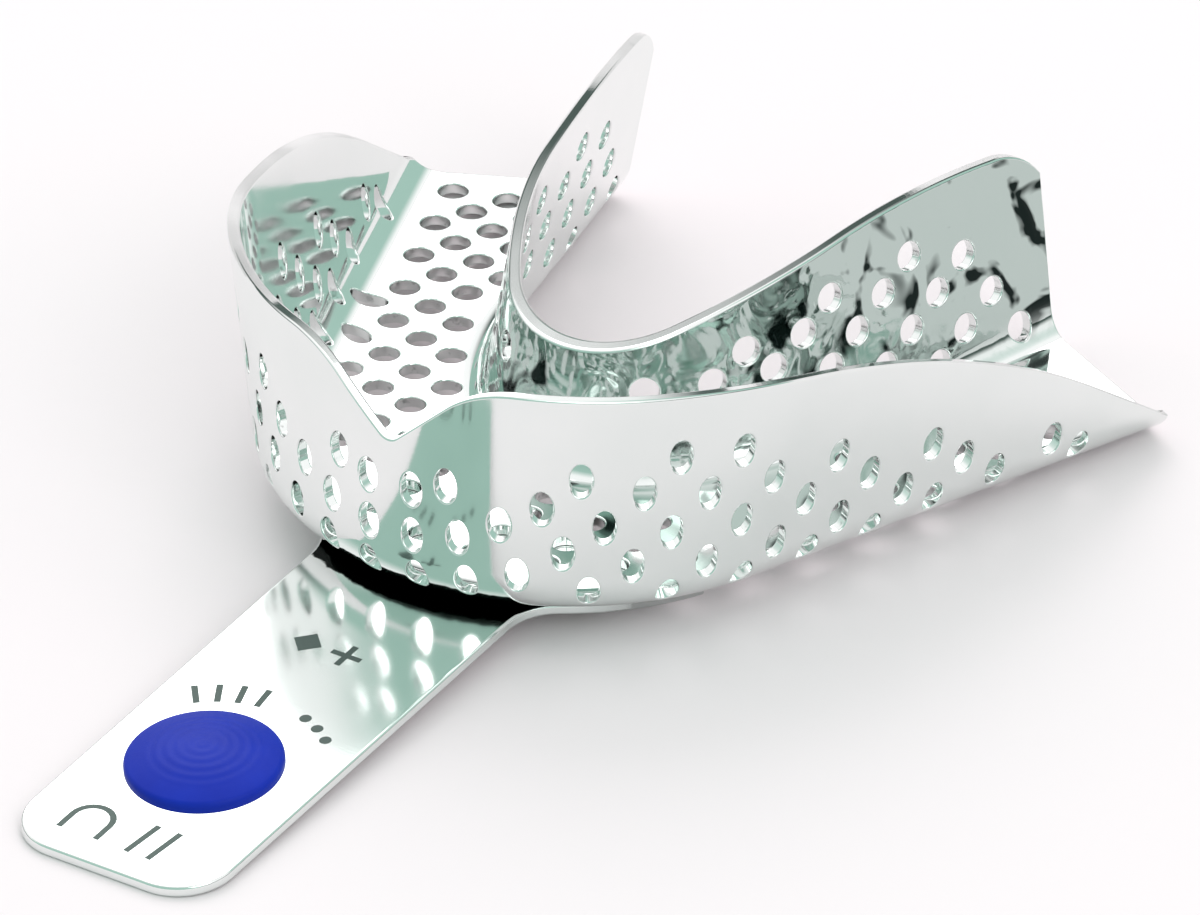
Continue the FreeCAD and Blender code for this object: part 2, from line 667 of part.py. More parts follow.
def button_body(doc, size):
    """The colour button: half its section, turned about its own axis."""
    body = doc.addObject("PartDesign::Body", "size_button")
    half = 0.5 * size.button_diameter
    rise = size.button_dome - size.button_rim
    radius = (half ** 2 + rise ** 2) / (2 * rise)
    sketch = new_sketch(body, "button_section", "XZ_Plane")
    angle = math.degrees(math.asin(half / radius))
    sketch.addGeometry([
        line_curve((0, 0), (half, 0)),
        line_curve((half, 0), (half, size.button_rim)),
        arc_curve((0, size.button_dome - radius), radius, 90 - angle, 90),
        line_curve((0, size.button_dome), (0, 0)),
    ])
    chain(sketch, [0, 1, 2, 3])
    sketch.addConstraint([
        Sketcher.Constraint("Coincident", 0, 1, -1, 1),
        Sketcher.Constraint("Horizontal", 0),
        Sketcher.Constraint("Vertical", 1),
        Sketcher.Constraint("Vertical", 3),
        Sketcher.Constraint("PointOnObject", 2, 3, -2),
    ])
    bind(sketch, "half", "Sizes.button_diameter / 2", "DistanceX", 0, 1, 0, 2, half)
    bind(sketch, "rim", "Sizes.button_rim", "DistanceY", 1, 1, 1, 2, size.button_rim)
    bind(sketch, "dome", "Sizes.button_dome", "DistanceY", 3, 2, 3, 1, size.button_dome)
    turned = body.newObject("PartDesign::Revolution", "button_solid")
    turned.Profile = sketch
    turned.ReferenceAxis = (sketch, ["V_Axis"])
    turned.Angle = 360.0
    doc.recompute()
    return body


def glue_disc(doc):
    """The glue film under the button."""
    disc = doc.addObject("Part::Cylinder", "button_glue")
    disc.setExpression("Radius", "Sizes.button_diameter / 2 - Sizes.glue_margin")
    disc.setExpression("Height", "Sizes.glue_film")
    return disc


def weld_plugs(doc, size):
    """One short cylinder for each plug weld, as deep as the tab."""
    plugs = []
    for number, (x, y) in enumerate(weld_places(size)):
        plug = doc.addObject("Part::Cylinder", "weld_plug_%d" % number)
        plug.setExpression("Radius", "Sizes.weld_diameter / 2")
        plug.setExpression("Height", "Sizes.handle_gauge")
        plug.Placement = Placement(Vector(x, y, -size.handle_gauge), Rotation())
        plugs.append(plug)
    group = doc.addObject("Part::Compound", "weld_plugs")
    group.Links = plugs
    return group


def standing_pitch(size):
    """Pitch in degrees at which the tray stands, on the handle's free end and the heels of its arms."""
    end_z = plate_line(size, -size.handle_reach, size.handle_gauge)
    return math.degrees(math.atan2(-end_z, size.heel_length + size.handle_reach))


def standing_place(pitch, shapes):
    """The pitched placement that puts the middle of the underside of the whole tray's box at the origin."""
    turn = Placement(Vector(0, 0, 0), Rotation(Vector(1, 0, 0), -pitch))
    bounds = [shape.transformed(turn.toMatrix(), True).optimalBoundingBox(False) for shape in shapes]
    middle = 0.5 * (min(bound.YMin for bound in bounds) + max(bound.YMax for bound in bounds))
    lowest = min(bound.ZMin for bound in bounds)
    return Placement(Vector(0, -middle, -lowest), turn.Rotation)


def main():
    doc = FreeCAD.newDocument("impression_tray")
    size = make_sheet(doc)

    shell = doc.addObject("Part::Feature", "tray_shell")
    shell.Shape = tray_shell(size)
    handle = handle_body(doc, size)
    welds = weld_plugs(doc, size)
    glue = glue_disc(doc)
    button = button_body(doc, size)
    doc.recompute()

    pitch = standing_pitch(size)
    stand = standing_place(pitch, [shell.Shape, handle.Shape])
    seat_y = size.button_from_end - size.handle_reach
    tilt = Rotation(Vector(1, 0, 0), size.handle_tilt)
    seat = Placement(Vector(0, seat_y, plate_line(size, seat_y, 0.0)), tilt)
    over_glue = Placement(Vector(0, 0, size.glue_film), Rotation())
    placements = {
        "tray_shell": stand,
        "handle": stand,
        "weld_plugs": stand,
        "button_glue": stand * seat,
        "size_button": stand * seat * over_glue,
    }
    parts = {"tray_shell": shell, "handle": handle, "weld_plugs": welds, "button_glue": glue,
             "size_button": button}
    for name, part in parts.items():
        part.Label = name
        part.Placement = placements[name]
    doc.recompute()
    check(doc, parts)

    os.makedirs("parts", exist_ok=True)
    for name, part in parts.items():
        part.Shape.exportStep(os.path.join("parts", name + ".step"))
        print("%-12s %8.1f mm3" % (name, part.Shape.Volume))
    print("stands pitched by %.4f degrees, moved to %s" % (pitch, stand.Base))


def check(doc, parts):
    """Stop if any object failed, or if a sub-part has no valid solid."""
    for item in doc.Objects:
        if "Invalid" in item.State or "Error" in item.State:
            raise RuntimeError("%s did not recompute" % item.Name)
    for name, part in parts.items():
        if part.Shape.isNull() or not part.Shape.isValid() or not part.Shape.Solids:
            raise RuntimeError("%s has no valid solid" % name)


if __name__ == "__main__":
    main()
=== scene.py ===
"""Looks of a perforated dental impression tray for a lower jaw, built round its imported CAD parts.

Shapes are worked out in millimetres in the tray's design frame: the floor's underside is z = 0, the front
of the trough is y = 0, the arms run towards +Y and the handle towards -Y. Stance then pitches and moves
them to where the tray stands, in metres.
"""

import logging
import math
from dataclasses import dataclass, field
from enum import Enum
from typing import Sequence

import bpy
import numpy as np
from mathutils import Matrix, Vector
from mathutils.geometry import delaunay_2d_cdt


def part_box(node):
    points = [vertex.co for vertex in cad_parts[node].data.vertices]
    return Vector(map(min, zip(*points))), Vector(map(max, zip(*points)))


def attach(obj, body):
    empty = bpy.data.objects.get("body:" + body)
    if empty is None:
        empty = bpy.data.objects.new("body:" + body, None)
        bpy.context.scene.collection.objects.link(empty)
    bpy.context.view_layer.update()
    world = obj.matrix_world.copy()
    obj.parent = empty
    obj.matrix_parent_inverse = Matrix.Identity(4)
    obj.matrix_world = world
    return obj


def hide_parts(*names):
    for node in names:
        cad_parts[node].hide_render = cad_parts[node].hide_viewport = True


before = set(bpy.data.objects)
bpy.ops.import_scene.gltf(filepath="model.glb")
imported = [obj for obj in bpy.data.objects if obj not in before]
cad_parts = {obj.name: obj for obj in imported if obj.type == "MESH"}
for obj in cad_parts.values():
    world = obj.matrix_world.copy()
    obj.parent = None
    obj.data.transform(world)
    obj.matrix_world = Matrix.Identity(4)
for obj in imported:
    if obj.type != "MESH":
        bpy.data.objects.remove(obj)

log = logging.getLogger("impression_tray")

Array = np.ndarray
Owner = bpy.types.Material | bpy.types.World     # what has a node tree
METRE = 0.001           # metres in a millimetre
TURN = 2.0 * math.pi
COLOUR = 2              # the colour among a mix node's outputs


# ---------------------------------------------------------------- where the tray stands

@dataclass(frozen=True)
class Stance:
    """Carries the design frame to the frame the tray stands in."""

    floor_length: float = 61.7      # from the front to the heels, along the inner wall
    handle_reach: float = 39.0      # from the front to the handle's free end
    end_drop: float = 5.15784       # the free end's lowest edge, under the floor's underside

    @property
    def pitch(self) -> float:
        """Angle at which the tray stands on its handle's end and its heels, in radians."""
        return math.atan2(self.end_drop, self.floor_length + self.handle_reach)

    def turned(self, points: Array) -> Array:
        """Directions or points pitched about X, with no move.

        Args:
            points: an array whose last axis is x, y, z.

        Returns:
            The same, pitched.
        """
        c, s = math.cos(self.pitch), math.sin(self.pitch)
        x, y, z = points[..., 0], points[..., 1], points[..., 2]
        return np.stack([x, y * c + z * s, z * c - y * s], axis=-1)

    def placed(self, points: Array) -> Array:
        """Points in the standing frame, in metres.

        The handle's lowest edge is also the lowest corner of its CAD node's box, which gives the move.

        Args:
            points: an array whose last axis is x, y, z in millimetres.

        Returns:
            The same points in metres.
        """
        low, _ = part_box("handle")
        edge = self.turned(np.array([0.0, -self.handle_reach, -self.end_drop])) * METRE
        move = np.array([0.0, low.y - edge[1], low.z - edge[2]])
        return self.turned(points) * METRE + move


STANCE = Stance()


# ---------------------------------------------------------------- meshes

@dataclass
class MeshParts:
    """Vertices, their normals, painted shade and folding, and faces of a mesh made of several arrays."""

    points: list[Array] = field(default_factory=list)
    normals: list[Array] = field(default_factory=list)
    painted_shade: list[Array] = field(default_factory=list)
    drawn: list[Array] = field(default_factory=list)
    faces: list[Array] = field(default_factory=list)
    slots: list[Array] = field(default_factory=list)
    count: int = 0

    def add_points(self, points: Array, normals: Array, painted_shade: Array | float = 0.0,
                   drawn: Array | float = 0.0) -> Array:
        """Store vertices.

        Args:
            points: their places.
            normals: their normals, which need not be of length 1.
            painted_shade: how much painted shade darkens the base colour at each, 0 to 1.
            drawn: how much the press has crinkled the sheet, and the painted reflection, at each, 0 to 1.

        Returns:
            Their numbers, in the shape of the points without their last axis.
        """
        shape = points.shape[:-1]
        self.painted_shade.append(np.broadcast_to(painted_shade, shape).ravel())
        self.drawn.append(np.broadcast_to(drawn, shape).ravel())
        number = int(np.prod(shape))
        self.points.append(points.reshape(-1, 3))
        self.normals.append(normals.reshape(-1, 3))
        self.count += number
        return np.arange(self.count - number, self.count).reshape(shape)

    def add_faces(self, faces: Array, slot: Array | int = 0) -> None:
        """Store faces, one row of vertex numbers each, with the material slot of each."""
        self.faces.append(faces)
        self.slots.append(np.broadcast_to(np.asarray(slot), (len(faces),)))

    def add_grid(self, numbers: Array, closed: bool, flip: bool = False, slot: int = 0) -> None:
        """Quads over a grid of vertex numbers, whose second axis may close on itself.

        Args:
            numbers: the vertex numbers.
            closed: whether the second axis closes.
            flip: whether the faces turn the other way.
            slot: their material slot.
        """
        right = np.roll(numbers, -1, axis=1) if closed else numbers[:, 1:]
        left = numbers if closed else numbers[:, :-1]
        quads = np.stack([left[:-1], right[:-1], right[1:], left[1:]], axis=-1).reshape(-1, 4)
        self.add_faces(quads[:, ::-1] if flip else quads, slot)

    def make(self, name: str, materials: Sequence[bpy.types.Material]) -> bpy.types.Object:
        """The finished object, at the origin, with its place in its vertices.

        Args:
            name: the piece's name.
            materials: its materials, in slot order.

        Returns:
            A mesh object whose normals are the surface's own.
        """
        points = STANCE.placed(np.concatenate(self.points))
        normals = STANCE.turned(np.concatenate(self.normals))
        normals /= np.linalg.norm(normals, axis=1, keepdims=True)
        sizes = np.concatenate([np.full(len(f), f.shape[1]) for f in self.faces])
        corners = np.concatenate([f.ravel() for f in self.faces]).astype(np.int32)
        mesh = bpy.data.meshes.new(name)
        mesh.vertices.add(len(points))
        mesh.vertices.foreach_set("co", points.astype(np.float32).ravel())
        mesh.loops.add(len(corners))
        mesh.loops.foreach_set("vertex_index", corners)
        mesh.polygons.add(len(sizes))
        mesh.polygons.foreach_set("loop_start", (np.cumsum(sizes) - sizes).astype(np.int32))
        mesh.polygons.foreach_set("material_index", np.concatenate(self.slots).astype(np.int32))
        mesh.update(calc_edges=True)
        mesh.validate()
        mesh.shade_smooth()
        mesh.normals_split_custom_set_from_vertices(normals)
        for vertex_layer, values in (("painted_shade", self.painted_shade), ("drawn", self.drawn)):
            layer = mesh.attributes.new(vertex_layer, "FLOAT", "POINT")
            layer.data.foreach_set("value", np.concatenate(values).astype(np.float32))
        for material in materials:
            mesh.materials.append(material)
        piece = bpy.data.objects.new(name, mesh)
        bpy.context.scene.collection.objects.link(piece)
        return piece


def ramp(values: Array, zero: float, one: float) -> Array:
    """Smooth step from 0 at one value to 1 at another, which may be the smaller."""
    share = np.clip((values - zero) / (one - zero), 0.0, 1.0)
    return share * share * (3.0 - 2.0 * share)


def unit(vectors: Array) -> Array:
    """Vectors scaled to length 1."""
    return vectors / np.maximum(np.linalg.norm(vectors, axis=-1, keepdims=True), 1e-12)


@dataclass(frozen=True)
class Rim:
    """Profile of a polished edge: a quarter round, a straight land, and a quarter round."""

    radius: float
    gauge: float
    steps: int = 3

    def rows(self) -> list[tuple[float, float, float]]:
        """Rows of (distance into the material, offset through it, angle of the normal from face to edge).

        Returns:
            The rows, from one face to the other.
        """
        quarter = [math.radians(90.0) * step / self.steps for step in range(self.steps + 1)]
        low = [(self.radius * (1 - math.sin(a)), self.radius * (1 - math.cos(a)), a) for a in quarter]
        return low + [(pull, self.gauge - offset, math.pi - a) for pull, offset, a in reversed(low)]


def hex_points(low: Array, high: Array, step: float) -> Array:
    """Points of a triangular lattice that fills a rectangle.

    Args:
        low: the least corner.
        high: the greatest corner.
        step: spacing.

    Returns:
        The points.
    """
    x, y = np.meshgrid(np.arange(low[0], high[0], step), np.arange(low[1], high[1], step * math.sqrt(0.75)))
    x = x + 0.5 * step * (np.arange(len(x)) % 2)[:, None]
    return np.stack([x.ravel(), y.ravel()], axis=1)


def loop_edges(start: int, loops: int, length: int) -> Array:
    """Edges of closed loops whose points follow each other.

    Args:
        start: number of the first point.
        loops: how many loops.
        length: points in each.

    Returns:
        Pairs of point numbers.
    """
    first = np.arange(length)
    pairs = np.stack([first, np.roll(first, -1)], axis=1)
    return (start + length * np.arange(loops)[:, None, None] + pairs[None]).reshape(-1, 2)


def inside(points: Array, loop: Array) -> Array:
    """True for each point inside a closed loop, by how often a level ray from it crosses the loop.

    Args:
        points: the points to test.
        loop: the loop's points in order.

    Returns:
        One truth value for each point.
    """
    px, py = points[:, 0, None], points[:, 1, None]
    ax, ay = loop[None, :, 0], loop[None, :, 1]
    bx, by = np.roll(loop[:, 0], -1)[None], np.roll(loop[:, 1], -1)[None]
    spans = (ay > py) != (by > py)
    rise = np.where(by == ay, 1.0, by - ay)
    crossing = spans & (px < ax + (py - ay) * (bx - ax) / rise)
    return crossing.sum(axis=1) % 2 == 1


def triangulate(points: Array, edges: Array) -> Array:
    """Triangles of the constrained Delaunay triangulation of a plane set of points.

    Args:
        points: the points.
        edges: pairs of point numbers that must stay edges.

    Returns:
        Rows of three point numbers, all anticlockwise.
    """
    vertices, _, faces, *_ = delaunay_2d_cdt([Vector(p) for p in points.tolist()], edges.tolist(), [], 0,
                                             1e-7, False)
    if len(vertices) != len(points):
        raise ValueError("two points of the outline coincide")
    found = np.array(faces, dtype=np.int64)
    corners = points[found]
    ab, ac = corners[:, 1] - corners[:, 0], corners[:, 2] - corners[:, 0]
    turned = ab[:, 0] * ac[:, 1] - ab[:, 1] * ac[:, 0] < 0
    found[turned] = found[turned][:, ::-1]
    return found


# ---------------------------------------------------------------- the trough's surfaces

def walk(station: Array, start: Array, radii: Sequence[Array], sweeps: Sequence[float],
         feet: Sequence[float]) -> tuple[Array, Array, Array]:
    """A point carried along half an outline in plan: tangent arcs, then a straight tail.

    Along each arc the heading turns by the distance walked over the foot's radius, and the point moves by the
    arc's own radius times the change of the heading's sine and cosine.

    Args:
        station: distance walked along the foot's outline.
        start: y at which the outline crosses x = 0.
        radii: radius of each arc at the height wanted.
        sweeps: turn of each arc, in radians.
        feet: radius of each arc at the foot.

    Returns:
        x, y and heading.
    """
    left = station
    heading = np.zeros_like(station)
    x, y = heading, start + heading
    for radius, sweep, foot in zip(radii, sweeps, feet):
        turn = np.clip(left / foot, 0.0, sweep)
        x = x + radius * (np.sin(heading + turn) - np.sin(heading))
        y = y + radius * (np.cos(heading) - np.cos(heading + turn))
        left = np.maximum(left - foot * sweep, 0.0)
        heading = heading + turn
    return x + left * np.cos(heading), y + left * np.sin(heading), heading


@dataclass(frozen=True)
class Wall:
    """One wall of the trough, ruled from its foot upwards and joined to the floor by a rolled bend."""

    radii: tuple[float, ...]        # plan radii of the foot's arcs
    sweeps: tuple[float, ...]       # their turns, in degrees
    start: float                    # y of the foot at x = 0
    growth: float                   # how much the radii grow for each unit of height
    advance: float                  # how far the outline's start moves towards -Y for each unit of height
    outwards: int                   # 1 where the trough lies inside the outline, -1 where it lies outside
    bend: float                     # bend radius on the underside

    @property
    def turns(self) -> list[float]:
        """The arcs' turns in radians."""
        return [math.radians(sweep) for sweep in self.sweeps]

    @property
    def arc_length(self) -> float:
        """Length of the foot's arcs."""
        return sum(radius * turn for radius, turn in zip(self.radii, self.turns))

    def plan(self, station: Array, height: Array, offset: Array) -> tuple[Array, Array, Array]:
        """Plan point and heading of the wall at a height; the offset goes into the trough.

        Args:
            station: distance round the foot.
            height: height over the floor's underside.
            offset: distance into the trough.

        Returns:
            x, y and heading.
        """
        change = self.growth * height - self.outwards * offset
        start = self.start + self.outwards * offset - self.advance * height
        return walk(station, start, [radius + change for radius in self.radii], self.turns, self.radii)

    def section(self, station: Array, climb: Array, offset: Array) -> tuple[Array, Array]:
        """A point on the bend or the wall.

        The section runs up from the floor: an arc of the bend's radius, less the offset, until it is
        tangent to the leaning wall, then straight on. The lean's tangent is growth - (growth - advance)
        cos(heading).

        Args:
            station: distance round the foot.
            climb: distance up the section from the floor.
            offset: distance from the underside into the trough.

        Returns:
            Points, and unit normals that point out of the trough.
        """
        _, _, heading = self.plan(station, 0.0 * station, offset)
        flare = self.outwards * (self.growth - (self.growth - self.advance) * np.cos(heading))
        lean = np.arctan(flare)
        radius = self.bend - offset
        bend_length = radius * (0.5 * math.pi - lean)
        tilt = np.where(climb < bend_length, 0.5 * math.pi - climb / radius, lean)
        contact = offset + radius * (1.0 - np.sin(lean))
        height = contact + np.maximum(climb - bend_length, 0.0) * np.cos(lean)
        x, y, _ = self.plan(station, height, offset)
        across = self.outwards * np.stack([np.sin(heading), -np.cos(heading)])
        reach = radius * (np.cos(tilt) - np.cos(lean))
        points = np.stack([x + across[0] * reach, y + across[1] * reach,
                           height + radius * (np.sin(lean) - np.sin(tilt))], axis=-1)
        level = np.cos(tilt)
        return points, np.stack([across[0] * level, across[1] * level, -np.sin(tilt)], axis=-1)


@dataclass(frozen=True)
class TroughSizes:
    """Driving sizes of the pressed trough, in millimetres and degrees."""

    gauge: float = 1.0
    lip_height: float = 20.4
    foot_radius: float = 24.0
    lip_radius: float = 28.9
    front_sweep: float = 70.0
    lip_forward: float = 0.3
    cheek_bend: float = 4.0
    tongue_front: float = 22.6
    tongue_nose_radius: float = 11.2
    tongue_nose_sweep: float = 52.0
    tongue_side_radius: float = 35.5
    tongue_side_sweep: float = 25.5
    tongue_lean: float = 9.5
    tongue_bend: float = 3.2
    heel_length: float = 61.7
    heel_reference: float = 20.6
    heel_angle: float = 26.0
    lip_flat: float = 8.0
    lip_drop_radius: float = 64.0
    lip_drop_sweep: float = 36.0
    tip_height: float = 2.1
    tongue_lip_top: float = 17.2
    tongue_lip_crest: float = 52.0
    tongue_lip_radius: float = 70.0
    tongue_corner: float = 5.5
    tongue_corner_reach: float = 63.3
    notch_depth: float = 6.2
    notch_flank: float = 42.0
    notch_root: float = 1.2
    notch_shoulder: float = 8.0


class Side(Enum):
    """The two walls of the trough."""

    CHEEK = "cheek"
    TONGUE = "tongue"


class Trough:
    """The trough as one surface of two parameters and an offset.

    u runs round the arch and is 0 at the front; v runs across it, from the cheek lip (negative) over the
    floor (0 to FLOOR_SPAN) to the tongue lip. Past the floor, v counts millimetres up the section.
    """

    HALF_SPAN = 66.0        # u at a heel
    FLOOR_SPAN = 14.0       # v across the floor
    STEEPEST = 30.0         # a climb that is above every lip
    SAMPLES = 3001          # stations at which the lips are solved
    HALVINGS = 40           # steps of each solution
    LIP_POINTS = 341        # points along each lip
    LIP_SPREAD = (0.55, 0.45)   # shares of even spacing, and of the cubic one that crowds them at the notch
    HEEL_POINTS = 70        # points along each heel

    def __init__(self, sizes: TroughSizes) -> None:
        """Work out both walls from the sizes.

        Args:
            sizes: the trough's driving sizes.
        """
        self.sizes = s = sizes
        growth = (s.lip_radius - s.foot_radius) / s.lip_height
        lean = math.tan(math.radians(s.tongue_lean))
        self.walls = {
            Side.CHEEK: Wall((s.foot_radius,), (s.front_sweep,), 0.0, growth, s.lip_forward / s.lip_height, 1,
                             s.cheek_bend),
            Side.TONGUE: Wall((s.tongue_nose_radius, s.tongue_side_radius),
                              (s.tongue_nose_sweep, s.tongue_side_sweep), s.tongue_front, -lean, -lean, -1,
                              s.tongue_bend),
        }
        self._lips: dict[tuple[Side, float], Array] = {}

    def heel_reach(self, wall: Wall, climb: Array, offset: Array) -> Array:
        """Station at which a wall meets the slanting heel cut.

        Args:
            wall: the wall.
            climb: distance up its section.
            offset: distance into the trough.

        Returns:
            The station, round its foot.
        """
        s = self.sizes
        slope = math.tan(math.radians(s.heel_angle))
        corner = np.full_like(climb, wall.arc_length)
        point, _ = wall.section(corner, climb, offset)
        heading = sum(wall.turns)
        gap = s.heel_length + slope * s.heel_reference - slope * point[..., 0] - point[..., 1]
        return corner + gap / (math.sin(heading) + slope * math.cos(heading))

    def on_wall(self, side: Side, share: Array, climb: Array, offset: Array) -> tuple[Array, Array]:
        """A point on a wall at a share of the way from the front to the heel."""
        wall = self.walls[side]
        return wall.section(share * self.heel_reach(wall, climb, offset), climb, offset)

    def notch(self, x: Array) -> Array:
        """Height of the V notch: a round root, straight flanks, and arcs that run out into the lip.

        Args:
            x: distance from the middle.

        Returns:
            The heights.
        """
        s = self.sizes
        flank = math.radians(s.notch_flank)
        low = s.lip_height - s.notch_depth
        foot_x = s.notch_root * math.sin(flank)
        foot_z = low + s.notch_root * (1 - math.cos(flank))
        crown = s.lip_height - s.notch_shoulder * (1 - math.cos(flank))
        reach = foot_x + (crown - foot_z) / math.tan(flank)
        centre = reach + s.notch_shoulder * math.sin(flank)
        root = low + s.notch_root - np.sqrt(np.maximum(s.notch_root ** 2 - x ** 2, 0.0))
        straight = foot_z + (x - foot_x) * math.tan(flank)
        shoulder = (s.lip_height - s.notch_shoulder
                    + np.sqrt(np.maximum(s.notch_shoulder ** 2 - (centre - x) ** 2, 0.0)))
        return np.select([x < foot_x, x < reach, x < centre], [root, straight, shoulder], s.lip_height)

    def cheek_lip(self, x: Array, y: Array) -> Array:
        """Height of the outer lip: level, an arc, a straight drop to the tip, and the notch at the front.

        Args:
            x: distance from the middle.
            y: distance behind the front.

        Returns:
            The heights.
        """
        s = self.sizes
        sweep = math.radians(s.lip_drop_sweep)
        past = np.maximum(y - s.lip_flat, 0.0)
        end = s.lip_drop_radius * math.sin(sweep)
        arc = s.lip_height - s.lip_drop_radius + np.sqrt(
            np.maximum(s.lip_drop_radius ** 2 - np.minimum(past, end) ** 2, 0.0))
        drop = np.maximum(arc - np.maximum(past - end, 0.0) * math.tan(sweep), s.tip_height)
        return np.where(y < s.foot_radius, np.minimum(drop, self.notch(x)), drop)

    def tongue_lip(self, x: Array, y: Array) -> Array:
        """Height of the inner lip: one long arc and a rounded rear corner.

        Args:
            x: distance from the middle, which changes nothing.
            y: distance behind the front.

        Returns:
            The heights.
        """
        s = self.sizes

        def long_arc(at: Array | float) -> Array:
            """Height of the long arc at a distance behind the front."""
            return s.tongue_lip_top - s.tongue_lip_radius + np.sqrt(
                s.tongue_lip_radius ** 2 - (at - s.tongue_lip_crest) ** 2)

        corner = s.tongue_corner_reach - s.tongue_corner
        base = long_arc(corner) - s.tongue_corner
        past = np.clip(y - corner, 0.0, s.tongue_corner)
        return np.where(y < corner, long_arc(y), base + np.sqrt(s.tongue_corner ** 2 - past ** 2))

    def lip_climb(self, side: Side, share: Array, offset: float) -> Array:
        """Distance up the section to the lip, solved by halving at many stations and read between them.

        Args:
            side: the wall.
            share: share of the way from the front to the heel.
            offset: distance into the trough.

        Returns:
            The distances.
        """
        key = (side, round(offset, 6))
        stations = np.linspace(0.0, 1.0, self.SAMPLES)
        if key not in self._lips:
            height = self.cheek_lip if side is Side.CHEEK else self.tongue_lip
            low, high = np.zeros(self.SAMPLES), np.full(self.SAMPLES, self.STEEPEST)
            through = np.full(self.SAMPLES, offset)
            for _ in range(self.HALVINGS):
                middle = 0.5 * (low + high)
                point, _ = self.on_wall(side, stations, middle, through)
                above = point[:, 2] > height(point[:, 0], point[:, 1])
                low, high = np.where(above, low, middle), np.where(above, middle, high)
            self._lips[key] = 0.5 * (low + high)
        return np.interp(np.abs(share), stations, self._lips[key])

    def surface(self, u: Array, v: Array, offset: Array) -> tuple[Array, Array]:
        """Points and outward normals of the sheet at an offset from its underside.

        Over the floor the point goes straight from one bend's contact line to the other's, at the same
        share of the way to the heel on both walls.

        Args:
            u: round the arch.
            v: across it.
            offset: distance into the trough.

        Returns:
            Points and unit normals.
        """
        share, mirror = np.abs(u) / self.HALF_SPAN, np.sign(u + 1e-15)
        offset = offset + 0.0 * u
        cheek, cheek_normal = self.on_wall(Side.CHEEK, share, np.maximum(-v, 0.0), offset)
        tongue, tongue_normal = self.on_wall(Side.TONGUE, share, np.maximum(v - self.FLOOR_SPAN, 0.0), offset)
        across = np.clip(v / self.FLOOR_SPAN, 0.0, 1.0)[..., None]
        points = cheek * (1.0 - across) + tongue * across
        normals = np.where(v[..., None] < 0, cheek_normal,
                           np.where(v[..., None] > self.FLOOR_SPAN, tongue_normal, [0.0, 0.0, -1.0]))
        flip = np.stack([mirror, np.ones_like(mirror), np.ones_like(mirror)], axis=-1)
        return points * flip, normals * flip

    def edge_loop(self, pull: float, offset: float) -> Array:
        """The sheet's edge as a closed loop of (u, v), drawn in from the edge by a distance.

        It runs along the cheek lip, up one heel, back along the tongue lip and down the other heel.
        Points crowd together round the notch.

        Args:
            pull: the distance.
            offset: offset from the underside, at which the lips are taken.

        Returns:
            The loop's points.
        """
        reach = self.HALF_SPAN - pull
        spread = np.linspace(-1.0, 1.0, self.LIP_POINTS)
        share = self.LIP_SPREAD[0] * spread + self.LIP_SPREAD[1] * spread ** 3
        cheek = -(self.lip_climb(Side.CHEEK, share * reach / self.HALF_SPAN, offset) - pull)
        tongue = self.FLOOR_SPAN + self.lip_climb(Side.TONGUE, share * reach / self.HALF_SPAN, offset) - pull
        heel = np.linspace(0.0, 1.0, self.HEEL_POINTS)[1:-1]
        rise = cheek[-1] + (tongue[-1] - cheek[-1]) * heel
        return np.concatenate([
            np.stack([share * reach, cheek], axis=1),
            np.stack([np.full_like(rise, reach), rise], axis=1),
            np.stack([share * reach, tongue], axis=1)[::-1],
            np.stack([np.full_like(rise, -reach), rise], axis=1)[::-1],
        ])


# ---------------------------------------------------------------- perforations

